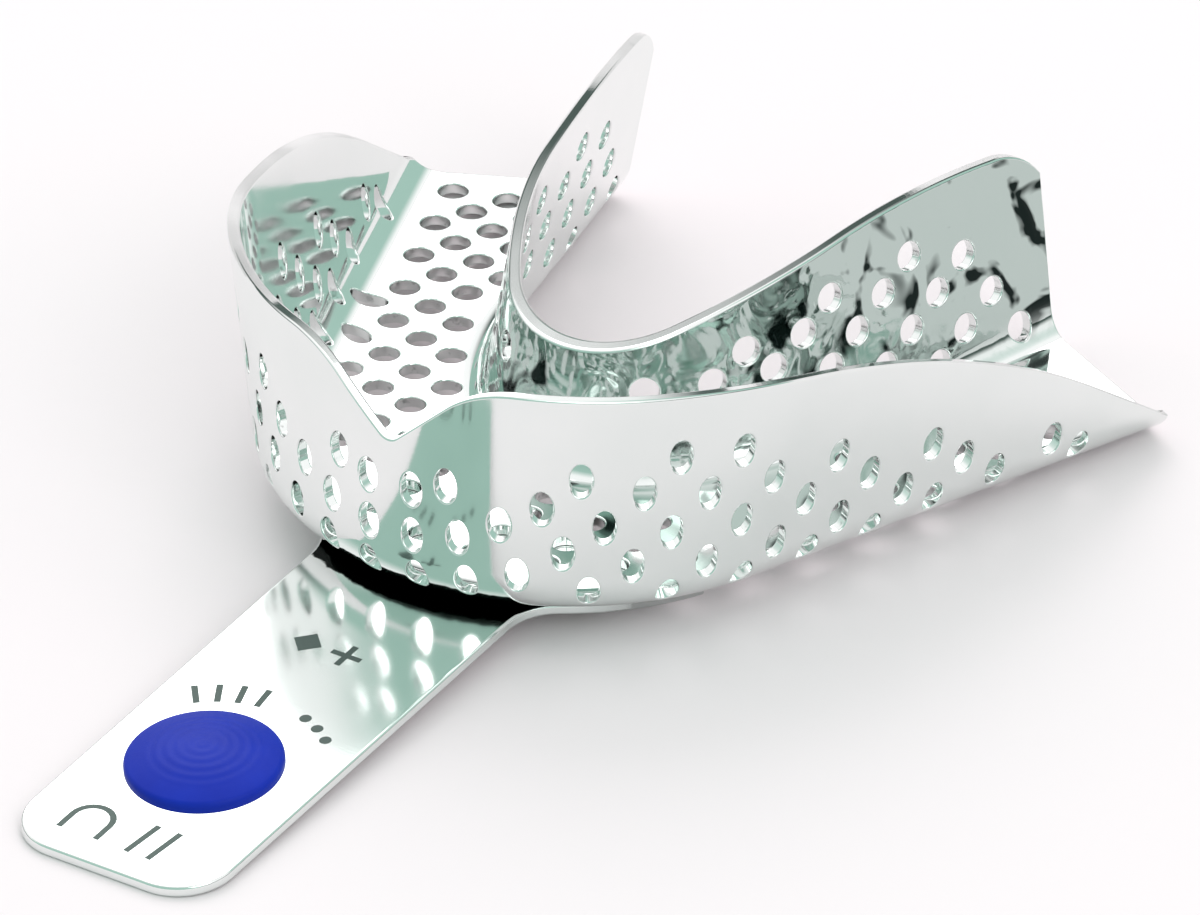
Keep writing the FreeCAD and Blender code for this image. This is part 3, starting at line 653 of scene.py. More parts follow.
@dataclass(frozen=True)
class Perforations:
    """Where the trough is drilled: rows along the floor and round both walls, in millimetres."""

    diameter: float = 2.35
    floor_pitch: float = 5.0            # spacing along the floor's row 0
    floor_pitch_step: float = 0.14      # spacing added for each row further out
    floor_first: float = 2.5
    floor_rows: tuple[int, int] = (-2, 4)
    floor_holes: int = 11
    floor_start: float = 18.0
    floor_nose: tuple[float, float] = (14.0, 57.0)
    floor_side: tuple[float, float] = (137.0, 14.0)
    floor_row_radius: float = 2.0
    floor_row_step: float = 3.33
    foot_share: float = 0.7             # least gap to a wall's foot, as a share of its bend's radius
    cheek_pitch: float = 5.9
    cheek_spots: tuple[tuple[float, float], ...] = (    # pitches round from the front, and height
        (0.37, 2.4), (0.32, 6.2), (0.31, 10.3), (1.07, 3.0), (0.94, 7.0), (0.76, 11.4), (1.72, 4.3),
        (1.45, 8.7), (2.26, 6.5), (1.94, 10.5), (2.72, 8.85), (2.36, 13.15), (2.66, 2.8), (3.16, 5.15),
        (3.13, 11.8), (3.57, 7.9), (3.48, 14.8), (3.95, 11.0), (4.26, 14.35), (3.73, 2.0), (4.15, 4.5),
        (4.5, 7.65), (4.81, 10.9), (4.8, 2.0), (5.18, 4.3), (5.49, 7.5), (5.85, 10.65), (5.84, 2.2),
        (6.2, 4.45), (6.51, 7.75), (6.88, 2.0), (7.22, 4.85), (7.51, 8.3), (7.84, 2.7), (8.16, 5.8),
        (8.81, 3.3), (9.69, 4.3), (10.25, 2.45))
    stretch: float = 1.3                # how much taller, and narrower, drawing has made the cheek's holes
    arm_start: float = 30.0
    arm_lip_margin: float = 2.6
    notch_half_width: float = 6.0
    notch_margin: float = 2.4
    tongue_rows: int = 4
    tongue_holes: int = 9
    tongue_pitch: float = 5.6
    tongue_first: float = 1.3
    tongue_shift: float = 3.1
    tongue_rise: float = 2.0
    tongue_level: float = 8.0
    tongue_fall: float = 0.35
    tongue_fall_from: float = 19.0
    lip_margin: float = 3.6
    heel_margin: float = 2.5

    def centres(self, trough: Trough) -> Array:
        """Middle of every hole, on one side and then mirrored to the other."""
        half = np.concatenate([self.on_floor(trough), self.on_cheek(trough), self.on_tongue(trough)])
        return np.concatenate([half, half * [-1.0, 1.0, 1.0]])

    def heel_gap(self, sizes: TroughSizes, x: Array, y: Array) -> Array:
        """Distance in plan to the heel cut.

        Args:
            sizes: the trough's sizes.
            x: distance from the middle.
            y: distance behind the front.

        Returns:
            The distances.
        """
        angle = math.radians(sizes.heel_angle)
        ridge = sizes.heel_length + math.tan(angle) * sizes.heel_reference
        return (ridge - math.tan(angle) * x - y) * math.cos(angle)

    def foot_gap(self, wall: Wall, x: Array, y: Array) -> Array:
        """Signed distance in plan to a wall's foot, positive on the trough's side.

        Args:
            wall: the wall.
            x: distance from the middle.
            y: distance behind the front.

        Returns:
            The distances.
        """
        station = np.linspace(0.0, 120.0, 6001)
        foot_x, foot_y, heading = wall.plan(station, 0.0 * station, 0.0 * station)
        away_x, away_y = x[:, None] - foot_x, y[:, None] - foot_y
        nearest = np.argmin(away_x ** 2 + away_y ** 2, axis=1)
        row = np.arange(len(x))
        near_x, near_y = away_x[row, nearest], away_y[row, nearest]
        out = near_x * np.sin(heading[nearest]) - near_y * np.cos(heading[nearest])
        return -wall.outwards * np.sign(out) * np.hypot(near_x, near_y)

    def on_floor(self, trough: Trough) -> Array:
        """Rows along the arch: a nose arc, long side arcs, and holes at even spacing.

        Args:
            trough: the trough.

        Returns:
            Middles of the holes on one side.
        """
        s = trough.sizes
        row, number = np.meshgrid(np.arange(*self.floor_rows), np.arange(self.floor_holes), indexing="ij")
        row, number = row.ravel().astype(float), number.ravel()
        station = self.floor_first + number * (self.floor_pitch + self.floor_pitch_step * row)
        radii = [self.floor_nose[0] + self.floor_row_radius * row,
                 self.floor_side[0] - self.floor_row_radius * row]
        sweeps = [math.radians(self.floor_nose[1]), math.radians(self.floor_side[1])]
        x, y, _ = walk(station, self.floor_start - self.floor_row_step * row, radii, sweeps, radii)
        cheek = self.foot_gap(trough.walls[Side.CHEEK], x, y) > self.foot_share * s.cheek_bend
        tongue = self.foot_gap(trough.walls[Side.TONGUE], x, y) > s.tongue_bend
        keep = cheek & tongue & (self.heel_gap(s, x, y) > self.heel_margin)
        return np.stack([x, y, np.full_like(x, 0.5 * s.gauge)], axis=1)[keep]

    def round_wall(self, wall: Wall, station: Array, height: Array) -> tuple[Array, Array]:
        """Plan point of a hole, whose station grows with the arcs' length at its height.

        Args:
            wall: the wall.
            station: distance round its foot.
            height: the height.

        Returns:
            x and y.
        """
        change = wall.growth * height
        radii = [radius + change for radius in wall.radii]
        high = sum(radius * turn for radius, turn in zip(radii, wall.turns))
        low = wall.arc_length
        moved = np.where(station <= low, station * high / low, high + station - low)
        x, y, _ = walk(moved, wall.start - wall.advance * height, radii, wall.turns, radii)
        return x, y

    def on_cheek(self, trough: Trough) -> Array:
        """The outer wall's holes, moved in onto the bend where they lie under the straight wall.

        Args:
            trough: the trough.

        Returns:
            Middles of the holes on one side.
        """
        s = trough.sizes
        wall = trough.walls[Side.CHEEK]
        pitches, height = np.array(self.cheek_spots).T
        x, y = self.round_wall(wall, pitches * self.cheek_pitch, height)
        _, _, heading = wall.plan(pitches * self.cheek_pitch, height, 0.0 * height)
        lean = np.sin(np.arctan(wall.growth - (wall.growth - wall.advance) * np.cos(heading)))
        under = np.maximum(s.cheek_bend * (1.0 - lean) - height, 0.0)
        sine = lean + under / s.cheek_bend
        inwards = s.cheek_bend * (np.sqrt(1.0 - lean ** 2) - np.sqrt(1.0 - sine ** 2))
        in_notch = (x < self.notch_half_width) & (height > s.lip_height - s.notch_depth - self.notch_margin)
        margin = np.where(y < self.arm_start, self.lip_margin, self.arm_lip_margin)
        beside_notch = np.full_like(x, s.lip_height)
        off_lip = trough.cheek_lip(beside_notch, y) - height > margin
        keep = off_lip & ~in_notch & (self.heel_gap(s, x, y) > self.heel_margin)
        spots = np.stack([x - np.sin(heading) * inwards, y + np.cos(heading) * inwards, height], axis=1)
        return spots[keep]

    def on_tongue(self, trough: Trough) -> Array:
        """Rows round the inner wall, level round the front and falling along the sides.

        Args:
            trough: the trough.

        Returns:
            Middles of the holes on one side.
        """
        s = trough.sizes
        row, number = np.meshgrid(np.arange(self.tongue_rows), np.arange(self.tongue_holes), indexing="ij")
        shift = (self.tongue_shift * row).ravel()
        station = self.tongue_first + shift + (self.tongue_pitch * number).ravel()
        fall = self.tongue_fall * np.maximum(0.0, station - self.tongue_fall_from - shift)
        height = self.tongue_level + self.tongue_rise * row.ravel() - fall
        x, y = self.round_wall(trough.walls[Side.TONGUE], station, height)
        behind = np.minimum(np.abs(y - s.tongue_lip_crest), s.tongue_lip_radius)
        lip = s.tongue_lip_top - s.tongue_lip_radius + np.sqrt(s.tongue_lip_radius ** 2 - behind ** 2)
        keep = ((lip - height > self.lip_margin) & (self.heel_gap(s, x, y) > self.lip_margin)
                & (height >= self.foot_share * s.tongue_bend))
        return np.stack([x, y, height], axis=1)[keep]


# ---------------------------------------------------------------- finishes

def linear(code: str) -> tuple[float, float, float, float]:
    """Linear colour of an sRGB hex code such as "#dde0de".

    Args:
        code: the hex code.

    Returns:
        Red, green, blue and an alpha of 1.
    """
    parts = [int(code[i:i + 2], 16) / 255.0 for i in (1, 3, 5)]
    red, green, blue = [p / 12.92 if p <= 0.04045 else ((p + 0.055) / 1.055) ** 2.4 for p in parts]
    return red, green, blue, 1.0


def entry(node: bpy.types.Node, name: str) -> bpy.types.NodeSocket:
    """A node's input by its label, or by its identifier where labels repeat; underscores stand for spaces."""
    return next(i for i in node.inputs if name in (i.name, i.name.replace(" ", "_"), i.identifier))


def drive(owner: Owner, node: bpy.types.Node, **sources: bpy.types.NodeSocket) -> None:
    """Join output sockets to a node's inputs, each named as entry names it."""
    for name, source in sources.items():
        owner.node_tree.links.new(source, entry(node, name))


def add_node(owner: Owner, kind: str, settings: dict[str, object] | None = None,
             **sources: bpy.types.NodeSocket) -> bpy.types.Node:
    """Add one node to a material or a world.

    Args:
        owner: the material or world, which has nodes.
        kind: the node's type.
        settings: its properties by name, and its inputs' values.
        sources: output sockets to join to its inputs.

    Returns:
        The new node.
    """
    node = owner.node_tree.nodes.new(kind)
    for name, value in (settings or {}).items():
        if hasattr(node, name):
            setattr(node, name, value)
        else:
            entry(node, name).default_value = value
    drive(owner, node, **sources)
    return node


def blank(name: str) -> tuple[bpy.types.Material, bpy.types.Node]:
    """A new material with only a Principled shader and an output.

    Args:
        name: the material's name.

    Returns:
        The material and its shader.
    """
    material = bpy.data.materials.new(name)
    material.use_nodes = True
    shader = material.node_tree.nodes["Principled BSDF"]
    return material, shader


def per_mm(size: float) -> float:
    """Texture scale on Object coordinates at which one unit of the pattern is this many millimetres."""
    return 1.0 / (size * METRE)


@dataclass(frozen=True)
class PolishedStainless:
    """Austenitic stainless sheet, pressed and then buffed to a mirror.

    To the eye it is bright and slightly cool, and its reflections bend gently where the press has drawn
    the sheet, most of all round the inner wall, whose folds take a painted grey-green reflection and painted
    dark reflections in their base colour. Faint buffing lines soften them, and painted shade darkens the base
    colour in the crevice where the tray meets the handle and in the holes' walls. The lines are drawn coarser
    than real ones, which would not show.
    """

    colour: str = "#f1f3f2"
    shade: str = "#e4e9e7"
    cloud_mm: float = 11.0          # width of the patches that the buff has left a little duller
    # painted reflection: a grey-green that the inner wall's folds take in their base colour
    painted_reflection_tint: str = "#8ea79e"
    painted_reflection_share: float = 0.62      # how much of the painted grey-green reflection the folded sheet takes
    # painted reflection: a near-black band high in each fold of the inner wall
    painted_dark_reflection: str = "#1a2422"
    dark_reflection_from: float = 0.56       # height in a fold at which a painted dark reflection begins
    dark_reflection_full: float = 0.64       # and at which it is full
    # painted shade: a near-black laid into the base colour in the crevice under the tray's front and in the holes'
    # walls
    painted_shade_colour: str = "#0c1311"
    painted_shade_edge_mm: float = 0.9        # width of the painted shade's ragged edge
    painted_shade_ragged: float = 0.7    # how ragged it is
    polish: float = 0.05
    dulled: float = 0.12
    ripple_mm: float = 9.0          # width of the waves that pressing leaves
    ripple_depth: float = 0.00005   # metres
    crinkle_mm: float = 3.6         # width of the folds round the inner wall
    crinkle_depth: float = 0.00022  # metres
    line_mm: float = 0.16           # spacing of the buffing lines
    line_depth: float = 0.0000010   # metres
    line_length: float = 14.0       # the lines' length for their width

    def make(self) -> bpy.types.Material:
        """Build the material.

        Returns:
            The material.
        """
        material, shader = blank("polished_stainless_steel")
        shader.inputs["Metallic"].default_value = 1.0
        place = add_node(material, "ShaderNodeTexCoord").outputs["Object"]
        cloud = add_node(material, "ShaderNodeTexNoise", {"Scale": per_mm(self.cloud_mm), "Detail": 3.0},
                         Vector=place)
        bright = add_node(material, "ShaderNodeMix", {"data_type": "RGBA", "A_Color": linear(self.colour),
                                                      "B_Color": linear(self.shade)},
                          Factor_Float=cloud.outputs["Fac"])
        # painted shade: the base colour turns near-black where the mesh's residue layer is high, with a ragged edge
        painted_shade = add_node(material, "ShaderNodeAttribute", {"attribute_name": "painted_shade"})
        ragged = add_node(material, "ShaderNodeTexNoise", {"Scale": per_mm(self.painted_shade_edge_mm), "Detail": 4.0},
                          Vector=place)
        torn = add_node(material, "ShaderNodeMath",
                        {"operation": "MULTIPLY_ADD", "Value_001": self.painted_shade_ragged},
                        Value=ragged.outputs["Fac"], Value_002=painted_shade.outputs["Fac"])
        painted_shade_mask = add_node(material, "ShaderNodeMapRange", {"From Min": 0.72, "From Max": 0.9},
                          Value=torn.outputs["Value"])
        drawn = add_node(material, "ShaderNodeAttribute", {"attribute_name": "drawn"})
        folds = add_node(material, "ShaderNodeTexNoise",
                         {"Scale": per_mm(self.crinkle_mm), "Detail": 2.0, "Distortion": 0.6}, Vector=place)
        # painted reflection: the inner wall's folds take a grey-green, and a near-black band high in each fold, in
        # their base colour
        painted_tint_share = add_node(material, "ShaderNodeMath", {"operation": "MULTIPLY", "Value_001": self.painted_reflection_share},
                        Value=drawn.outputs["Fac"])
        worked = add_node(material, "ShaderNodeMix", {"data_type": "RGBA", "B_Color": linear(self.painted_reflection_tint)},
                          Factor_Float=painted_tint_share.outputs["Value"], A_Color=bright.outputs[COLOUR])
        dark_reflection_mask = add_node(material, "ShaderNodeMapRange",
                           {"From Min": self.dark_reflection_from, "From Max": self.dark_reflection_full},
                           Value=folds.outputs["Fac"])
        dark = add_node(material, "ShaderNodeMath", {"operation": "MULTIPLY"},
                        Value=dark_reflection_mask.outputs["Result"], Value_001=drawn.outputs["Fac"])
        with_dark_reflection = add_node(material, "ShaderNodeMix", {"data_type": "RGBA", "B_Color": linear(self.painted_dark_reflection)},
                            Factor_Float=dark.outputs["Value"], A_Color=worked.outputs[COLOUR])
        tone = add_node(material, "ShaderNodeMix", {"data_type": "RGBA", "B_Color": linear(self.painted_shade_colour)},
                        Factor_Float=painted_shade_mask.outputs["Result"], A_Color=with_dark_reflection.outputs[COLOUR])
        rough = add_node(material, "ShaderNodeMapRange",
                         {"From Min": 0.35, "From Max": 0.75, "To Min": self.polish, "To Max": self.dulled},
                         Value=cloud.outputs["Fac"])
        ripple = add_node(material, "ShaderNodeTexNoise", {"Scale": per_mm(self.ripple_mm), "Detail": 1.0},
                          Vector=place)
        waves = add_node(material, "ShaderNodeBump", {"Distance": self.ripple_depth},
                         Height=ripple.outputs["Fac"])
        crinkle = add_node(material, "ShaderNodeBump", {"Distance": self.crinkle_depth},
                           Height=folds.outputs["Fac"], Strength=drawn.outputs["Fac"],
                           Normal=waves.outputs["Normal"])
        stretched = add_node(material, "ShaderNodeMapping",
                             {"Rotation": (0.3, 0.5, 0.6), "Scale": (1.0, self.line_length, 9.0)},
                             Vector=place)
        lines = add_node(material, "ShaderNodeTexNoise",
                         {"Scale": per_mm(self.line_mm * self.line_length), "Detail": 2.0},
                         Vector=stretched.outputs["Vector"])
        fine = add_node(material, "ShaderNodeBump", {"Distance": self.line_depth},
                        Height=lines.outputs["Fac"], Normal=crinkle.outputs["Normal"])
        drive(material, shader, Base_Color=tone.outputs[COLOUR], Roughness=rough.outputs["Result"],
              Normal=fine.outputs["Normal"])
        return material


@dataclass(frozen=True)
class EtchedOxide:
    """Stainless darkened by laser marking: a matt grey oxide with a fine grain."""

    colour: str = "#55625e"
    grain_mm: float = 0.12

    def make(self) -> bpy.types.Material:
        """Build the material.

        Returns:
            The material.
        """
        material, shader = blank("laser_marked_steel")
        shader.inputs["Metallic"].default_value = 0.6
        shader.inputs["Base Color"].default_value = linear(self.colour)
        place = add_node(material, "ShaderNodeTexCoord").outputs["Object"]
        grain = add_node(material, "ShaderNodeTexNoise", {"Scale": per_mm(self.grain_mm), "Detail": 2.0},
                         Vector=place)
        rough = add_node(material, "ShaderNodeMapRange", {"To Min": 0.4, "To Max": 0.65},
                         Value=grain.outputs["Fac"])
        bump = add_node(material, "ShaderNodeBump", {"Strength": 0.6, "Distance": 0.00001},
                        Height=grain.outputs["Fac"])
        drive(material, shader, Roughness=rough.outputs["Result"], Normal=bump.outputs["Normal"])
        return material


@dataclass(frozen=True)
class WeldMetal:
    """Stainless weld nugget, brushed: duller than the sheet, with a straw heat tint in patches."""

    colour: str = "#b9b8b2"
    tint: str = "#a8925f"
    grain_mm: float = 0.5

    def make(self) -> bpy.types.Material:
        """Build the material.

        Returns:
            The material.
        """
        material, shader = blank("brushed_weld_metal")
        shader.inputs["Metallic"].default_value = 1.0
        place = add_node(material, "ShaderNodeTexCoord").outputs["Object"]
        cloud = add_node(material, "ShaderNodeTexNoise", {"Scale": per_mm(self.grain_mm * 4), "Detail": 3.0},
                         Vector=place)
        share = add_node(material, "ShaderNodeMapRange", {"From Min": 0.5, "From Max": 0.8},
                         Value=cloud.outputs["Fac"])
        tone = add_node(material, "ShaderNodeMix", {"data_type": "RGBA", "A_Color": linear(self.colour),
                                                    "B_Color": linear(self.tint)},
                        Factor_Float=share.outputs["Result"])
        grain = add_node(material, "ShaderNodeTexNoise", {"Scale": per_mm(self.grain_mm), "Detail": 4.0},
                         Vector=place)
        rough = add_node(material, "ShaderNodeMapRange", {"To Min": 0.22, "To Max": 0.42},
                         Value=grain.outputs["Fac"])
        bump = add_node(material, "ShaderNodeBump", {"Strength": 0.7, "Distance": 0.00003},
                        Height=grain.outputs["Fac"])
        drive(material, shader, Base_Color=tone.outputs[COLOUR], Roughness=rough.outputs["Result"],
              Normal=bump.outputs["Normal"])
        return material


@dataclass(frozen=True)
class CuredAdhesive:
    """Cured epoxy film: faintly yellow, clear and glossy."""

    colour: str = "#e6e2cf"
    cloud_mm: float = 1.2           # width of its cloudy patches

    def make(self) -> bpy.types.Material:
        """Build the material.

        Returns:
            The material.
        """
        material, shader = blank("cured_epoxy")
        shader.inputs["Base Color"].default_value = linear(self.colour)
        shader.inputs["Transmission Weight"].default_value = 0.5
        shader.inputs["IOR"].default_value = 1.55
        place = add_node(material, "ShaderNodeTexCoord").outputs["Object"]
        cloud = add_node(material, "ShaderNodeTexNoise", {"Scale": per_mm(self.cloud_mm), "Detail": 2.0}, Vector=place)
        rough = add_node(material, "ShaderNodeMapRange", {"To Min": 0.12, "To Max": 0.3},
                         Value=cloud.outputs["Fac"])
        drive(material, shader, Roughness=rough.outputs["Result"])
        return material


@dataclass(frozen=True)
class MouldedNylon:
    """Blue nylon, moulded and lightly tumbled: even, deep colour with a soft satin sheen and a fine grain."""

    colour: str = "#1232ba"
    shade: str = "#0e28a6"
    cloud_mm: float = 3.0           # width of the patches where its colour varies
    grain_mm: float = 0.22

    def make(self) -> bpy.types.Material:
        """Build the material.

        Returns:
            The material.
        """
        material, shader = blank("blue_moulded_nylon")
        shader.inputs["IOR"].default_value = 1.53
        shader.inputs["Specular IOR Level"].default_value = 0.14
        place = add_node(material, "ShaderNodeTexCoord").outputs["Object"]
        cloud = add_node(material, "ShaderNodeTexNoise", {"Scale": per_mm(self.cloud_mm), "Detail": 2.0}, Vector=place)
        tone = add_node(material, "ShaderNodeMix", {"data_type": "RGBA", "A_Color": linear(self.colour),
                                                    "B_Color": linear(self.shade)},
                        Factor_Float=cloud.outputs["Fac"])
        grain = add_node(material, "ShaderNodeTexNoise", {"Scale": per_mm(self.grain_mm), "Detail": 3.0},
                         Vector=place)
        rough = add_node(material, "ShaderNodeMapRange", {"To Min": 0.36, "To Max": 0.52},
                         Value=grain.outputs["Fac"])
        bump = add_node(material, "ShaderNodeBump", {"Strength": 0.35, "Distance": 0.00002},
                        Height=grain.outputs["Fac"])
        drive(material, shader, Base_Color=tone.outputs[COLOUR], Roughness=rough.outputs["Result"],
              Normal=bump.outputs["Normal"])
        return material


# ---------------------------------------------------------------- the pressed shell

@dataclass(frozen=True)
class TrayShell:
    """The perforated trough, meshed as one sheet with rounded edges."""

    trough: Trough
    holes: Perforations
    edge_radius: float = 0.24       # how far buffing has rounded the sheet's edges
    hole_radius: float = 0.16       # and the holes' edges
    mesh_step: float = 0.62
    hole_points: int = 26
    hole_painted_shade: float = 0.3       # how much painted shade darkens the holes' walls
    folds: tuple[float, float] = (1.0, 4.0)             # up the inner wall: where they begin, and are full
    crevice_height: tuple[float, float] = (0.7, 0.3)    # painted shade in the crevice over the handle, by height: none, and full
    crevice_half: tuple[float, float] = (12.4, 11.2)    # the same, across the tray
    crevice_depth: float = 8.0                          # how far behind the front it reaches
    first_grid: tuple[tuple[float, float, int], ...] = ((-65.0, 65.0, 401), (-20.0, 30.0, 161))   # u and v

    def stretched(self, place: Array) -> Array:
        """How much wider (first) and taller (second) than round each hole is: all but the cheek's are round.

        Args:
            place: (u, v) of each hole.

        Returns:
            A pair of factors for each.
        """
        on_cheek = place[:, 1] < 0.0
        tall = np.where(on_cheek, self.holes.stretch, 1.0)
        return np.stack([1.0 / tall, tall], axis=1)

    def drilled(self) -> tuple[Array, Array, Array]:
        """Each hole's place on the sheet.

        The nearest point of a coarse grid is refined by Newton's method on the sheet's middle surface;
        the hole's axis is the sheet's normal there, because sheet is perforated flat and pressed
        afterwards.

        Returns:
            (u, v), centres and axes.
        """
        centres = self.holes.centres(self.trough)
        middle = 0.5 * self.trough.sizes.gauge
        u, v = np.meshgrid(*[np.linspace(*axis) for axis in self.first_grid])
        u, v = u.ravel(), v.ravel()
        grid, _ = self.trough.surface(u, v, np.full_like(u, middle))
        nearest = np.array([np.argmin(((grid - c) ** 2).sum(axis=1)) for c in centres])
        place = np.stack([u[nearest], v[nearest]], axis=1)
        for _ in range(3):
            _, axes = self.trough.surface(place[:, 0], place[:, 1], middle)
            place = self.solve(place, centres, axes, np.zeros((len(centres), 2)), middle)
        points, axes = self.trough.surface(place[:, 0], place[:, 1], middle)
        return place, points, axes

    def frames(self, axes: Array) -> tuple[Array, Array]:
        """Two unit vectors square to each axis, such that loops turn the same way in (u, v)."""
        along = unit(np.cross([0.003, 0.01, 1.0], axes))
        return along, np.cross(along, axes)

    def solve(self, place: Array, centres: Array, axes: Array, wanted: Array, offset: float) -> Array:
        """(u, v) at which the sheet meets lines parallel to the axes, by Newton's method.

        Args:
            place: first guess.
            centres: a point on each axis.
            axes: the axes.
            wanted: distances from the axis along its two square directions.
            offset: offset from the sheet's underside.

        Returns:
            The places found.
        """
        first, second = self.frames(axes)

        def miss(at: Array) -> Array:
            """How far the sheet's points at (u, v) are from the lines wanted."""
            points, _ = self.trough.surface(at[..., 0], at[..., 1], offset)
            away = points - centres
            return np.stack([(away * first).sum(-1), (away * second).sum(-1)], axis=-1) - wanted

        small = 1e-4
        for _ in range(7):
            value = miss(place)
            du = (miss(place + [small, 0.0]) - value) / small
            dv = (miss(place + [0.0, small]) - value) / small
            size = du[..., 0] * dv[..., 1] - du[..., 1] * dv[..., 0]
            size = np.where(np.abs(size) < 0.05, 0.05 * np.sign(size + 1e-12), size)
            step_u = (value[..., 0] * dv[..., 1] - value[..., 1] * dv[..., 0]) / size
            step_v = (du[..., 0] * value[..., 1] - du[..., 1] * value[..., 0]) / size
            place = place - np.clip(np.stack([step_u, step_v], axis=-1), -1.5, 1.5)
        return place

    def rings(self, place: Array, centres: Array, axes: Array, radius: float, offset: float) -> Array:
        """(u, v) of each hole's outline at a radius, one row of points for each hole.

        Args:
            place: (u, v) of the holes.
            centres: their centres.
            axes: their axes.
            radius: radius that a round hole has.
            offset: offset from the underside.

        Returns:
            The outlines.
        """
        angle = np.linspace(0.0, TURN, self.hole_points, endpoint=False)
        pull = radius - 0.5 * self.holes.diameter
        semi_axes = 0.5 * self.holes.diameter * self.stretched(place) + pull
        wanted = semi_axes[:, None] * np.stack([np.cos(angle), np.sin(angle)], axis=1)
        guess = np.broadcast_to(place[:, None], wanted.shape)
        return self.solve(guess, centres[:, None], axes[:, None], wanted, offset)

    def face(self, parts: MeshParts, edge: Array, rings: Array, holes: tuple[Array, Array, Array],
             offset: float, outer: bool) -> tuple[Array, Array]:
        """Triangulate one face of the sheet between its edge and its holes.

        Args:
            parts: the mesh that takes it.
            edge: (u, v) of the sheet's edge on this face.
            rings: (u, v) of each hole's outline on it.
            holes: each hole's (u, v), centre and axis.
            offset: the face's offset from the underside.
            outer: whether it is the underside.

        Returns:
            Vertex numbers of the edge loop and of the rings.
        """
        place, centres, axes = holes
        reach = 0.5 * self.holes.diameter * self.stretched(place) + self.hole_radius + 0.55 * self.mesh_step
        lattice = hex_points(edge.min(axis=0), edge.max(axis=0), self.mesh_step)
        lattice = lattice[inside(lattice, edge)]
        gaps = np.linalg.norm(lattice[:, None] - edge[None], axis=2).min(axis=1)
        lattice = lattice[gaps > 0.6 * self.mesh_step]
        points, _ = self.trough.surface(lattice[:, 0], lattice[:, 1], offset)
        away = points[:, None] - centres[None]
        first, second = self.frames(axes)
        radial = np.hypot((away * first).sum(-1) / reach[:, 0], (away * second).sum(-1) / reach[:, 1])
        blocked = (radial < 1.0) & (np.abs((away * axes).sum(-1)) < 2.0)
        lattice = lattice[~blocked.any(axis=1)]
        plane = np.concatenate([lattice, edge, rings.reshape(-1, 2)])
        ring_start = len(lattice) + len(edge)
        edges = np.concatenate([loop_edges(len(lattice), 1, len(edge)),
                                loop_edges(ring_start, len(rings), self.hole_points)])
        triangles = triangulate(plane, edges)
        ring_of = np.full(len(plane), -1)
        ring_of[ring_start:] = np.repeat(np.arange(len(rings)), self.hole_points)
        owners = ring_of[triangles]
        in_hole = (owners[:, 0] >= 0) & (owners == owners[:, :1]).all(axis=1)
        middles = plane[triangles].mean(axis=1)
        triangles = triangles[~in_hole & inside(middles, edge)]
        solid, normals = self.trough.surface(plane[:, 0], plane[:, 1], offset)
        drawn, painted_shade = 0.0, 0.0
        if outer:
            # painted shade on the underside, low at the front, in the crevice where the tray sits on the handle
            painted_shade = (ramp(solid[:, 2], *self.crevice_height) * ramp(np.abs(solid[:, 0]), *self.crevice_half)
                       * (solid[:, 1] < self.crevice_depth))
        else:
            drawn = ramp(plane[:, 1], *[self.trough.FLOOR_SPAN + climb for climb in self.folds])
        numbers = parts.add_points(solid, normals if outer else -normals, painted_shade, drawn)
        parts.add_faces(numbers[triangles[:, ::-1] if outer else triangles])
        return numbers[len(lattice):ring_start], numbers[ring_start:].reshape(len(rings), self.hole_points)

    def strip(self, parts: MeshParts, loops: list[Array], rim: Rim, first: Array, last: Array,
              painted_shade: float = 0.0) -> None:
        """Join the two faces along a rim, with normals that turn from one face to the edge and to the other.

        Args:
            parts: the mesh that takes it.
            loops: the rim's rows in (u, v), for one outline or for one outline of each hole.
            rim: the rim's profile.
            first: vertex numbers of the underside's outline.
            last: vertex numbers of the trough side's outline.
            painted_shade: how much painted shade darkens the land.
        """
        rows = rim.rows()
        numbers = [first]
        solids, faces_out = zip(*[self.trough.surface(loop[..., 0], loop[..., 1], offset)
                                  for loop, (_, offset, _) in zip(loops, rows)])
        for k in range(1, len(rows) - 1):
            angle = rows[k][2]
            out = solids[rim.steps] - solids[0]
            out = unit(out - (out * faces_out[k]).sum(-1, keepdims=True) * faces_out[k])
            numbers.append(parts.add_points(solids[k], math.cos(angle) * faces_out[k] + math.sin(angle) * out,
                                            painted_shade if k in (rim.steps, rim.steps + 1) else 0.0))
        numbers.append(last)
        stack = np.stack(numbers)
        if stack.ndim == 2:
            parts.add_grid(stack, closed=True)
            return
        for hole in range(stack.shape[1]):
            parts.add_grid(stack[:, hole], closed=True, flip=True)

    def make(self, steel: bpy.types.Material) -> bpy.types.Object:
        """Build the shell.

        Args:
            steel: its finish.

        Returns:
            The shell.
        """
        gauge = self.trough.sizes.gauge
        place, centres, axes = self.drilled()
        log.info("tray_shell: %d perforations", len(centres))
        hole_rim, sheet_rim = Rim(self.hole_radius, gauge, 2), Rim(self.edge_radius, gauge)
        ring_loops = [self.rings(place, centres, axes, 0.5 * self.holes.diameter + pull, offset)
                      for pull, offset, _ in hole_rim.rows()]
        edge_loops = [self.trough.edge_loop(pull, offset) for pull, offset, _ in sheet_rim.rows()]
        parts = MeshParts()
        holes = (place, centres, axes)
        under_edge, under_rings = self.face(parts, edge_loops[0], ring_loops[0], holes, 0.0, True)
        over_edge, over_rings = self.face(parts, edge_loops[-1], ring_loops[-1], holes, gauge, False)
        self.strip(parts, edge_loops, sheet_rim, under_edge, over_edge)
        # painted shade on the holes' walls
        self.strip(parts, ring_loops, hole_rim, under_rings, over_rings, self.hole_painted_shade)
        return parts.make("pressed_trough", [steel])


# ---------------------------------------------------------------- handle

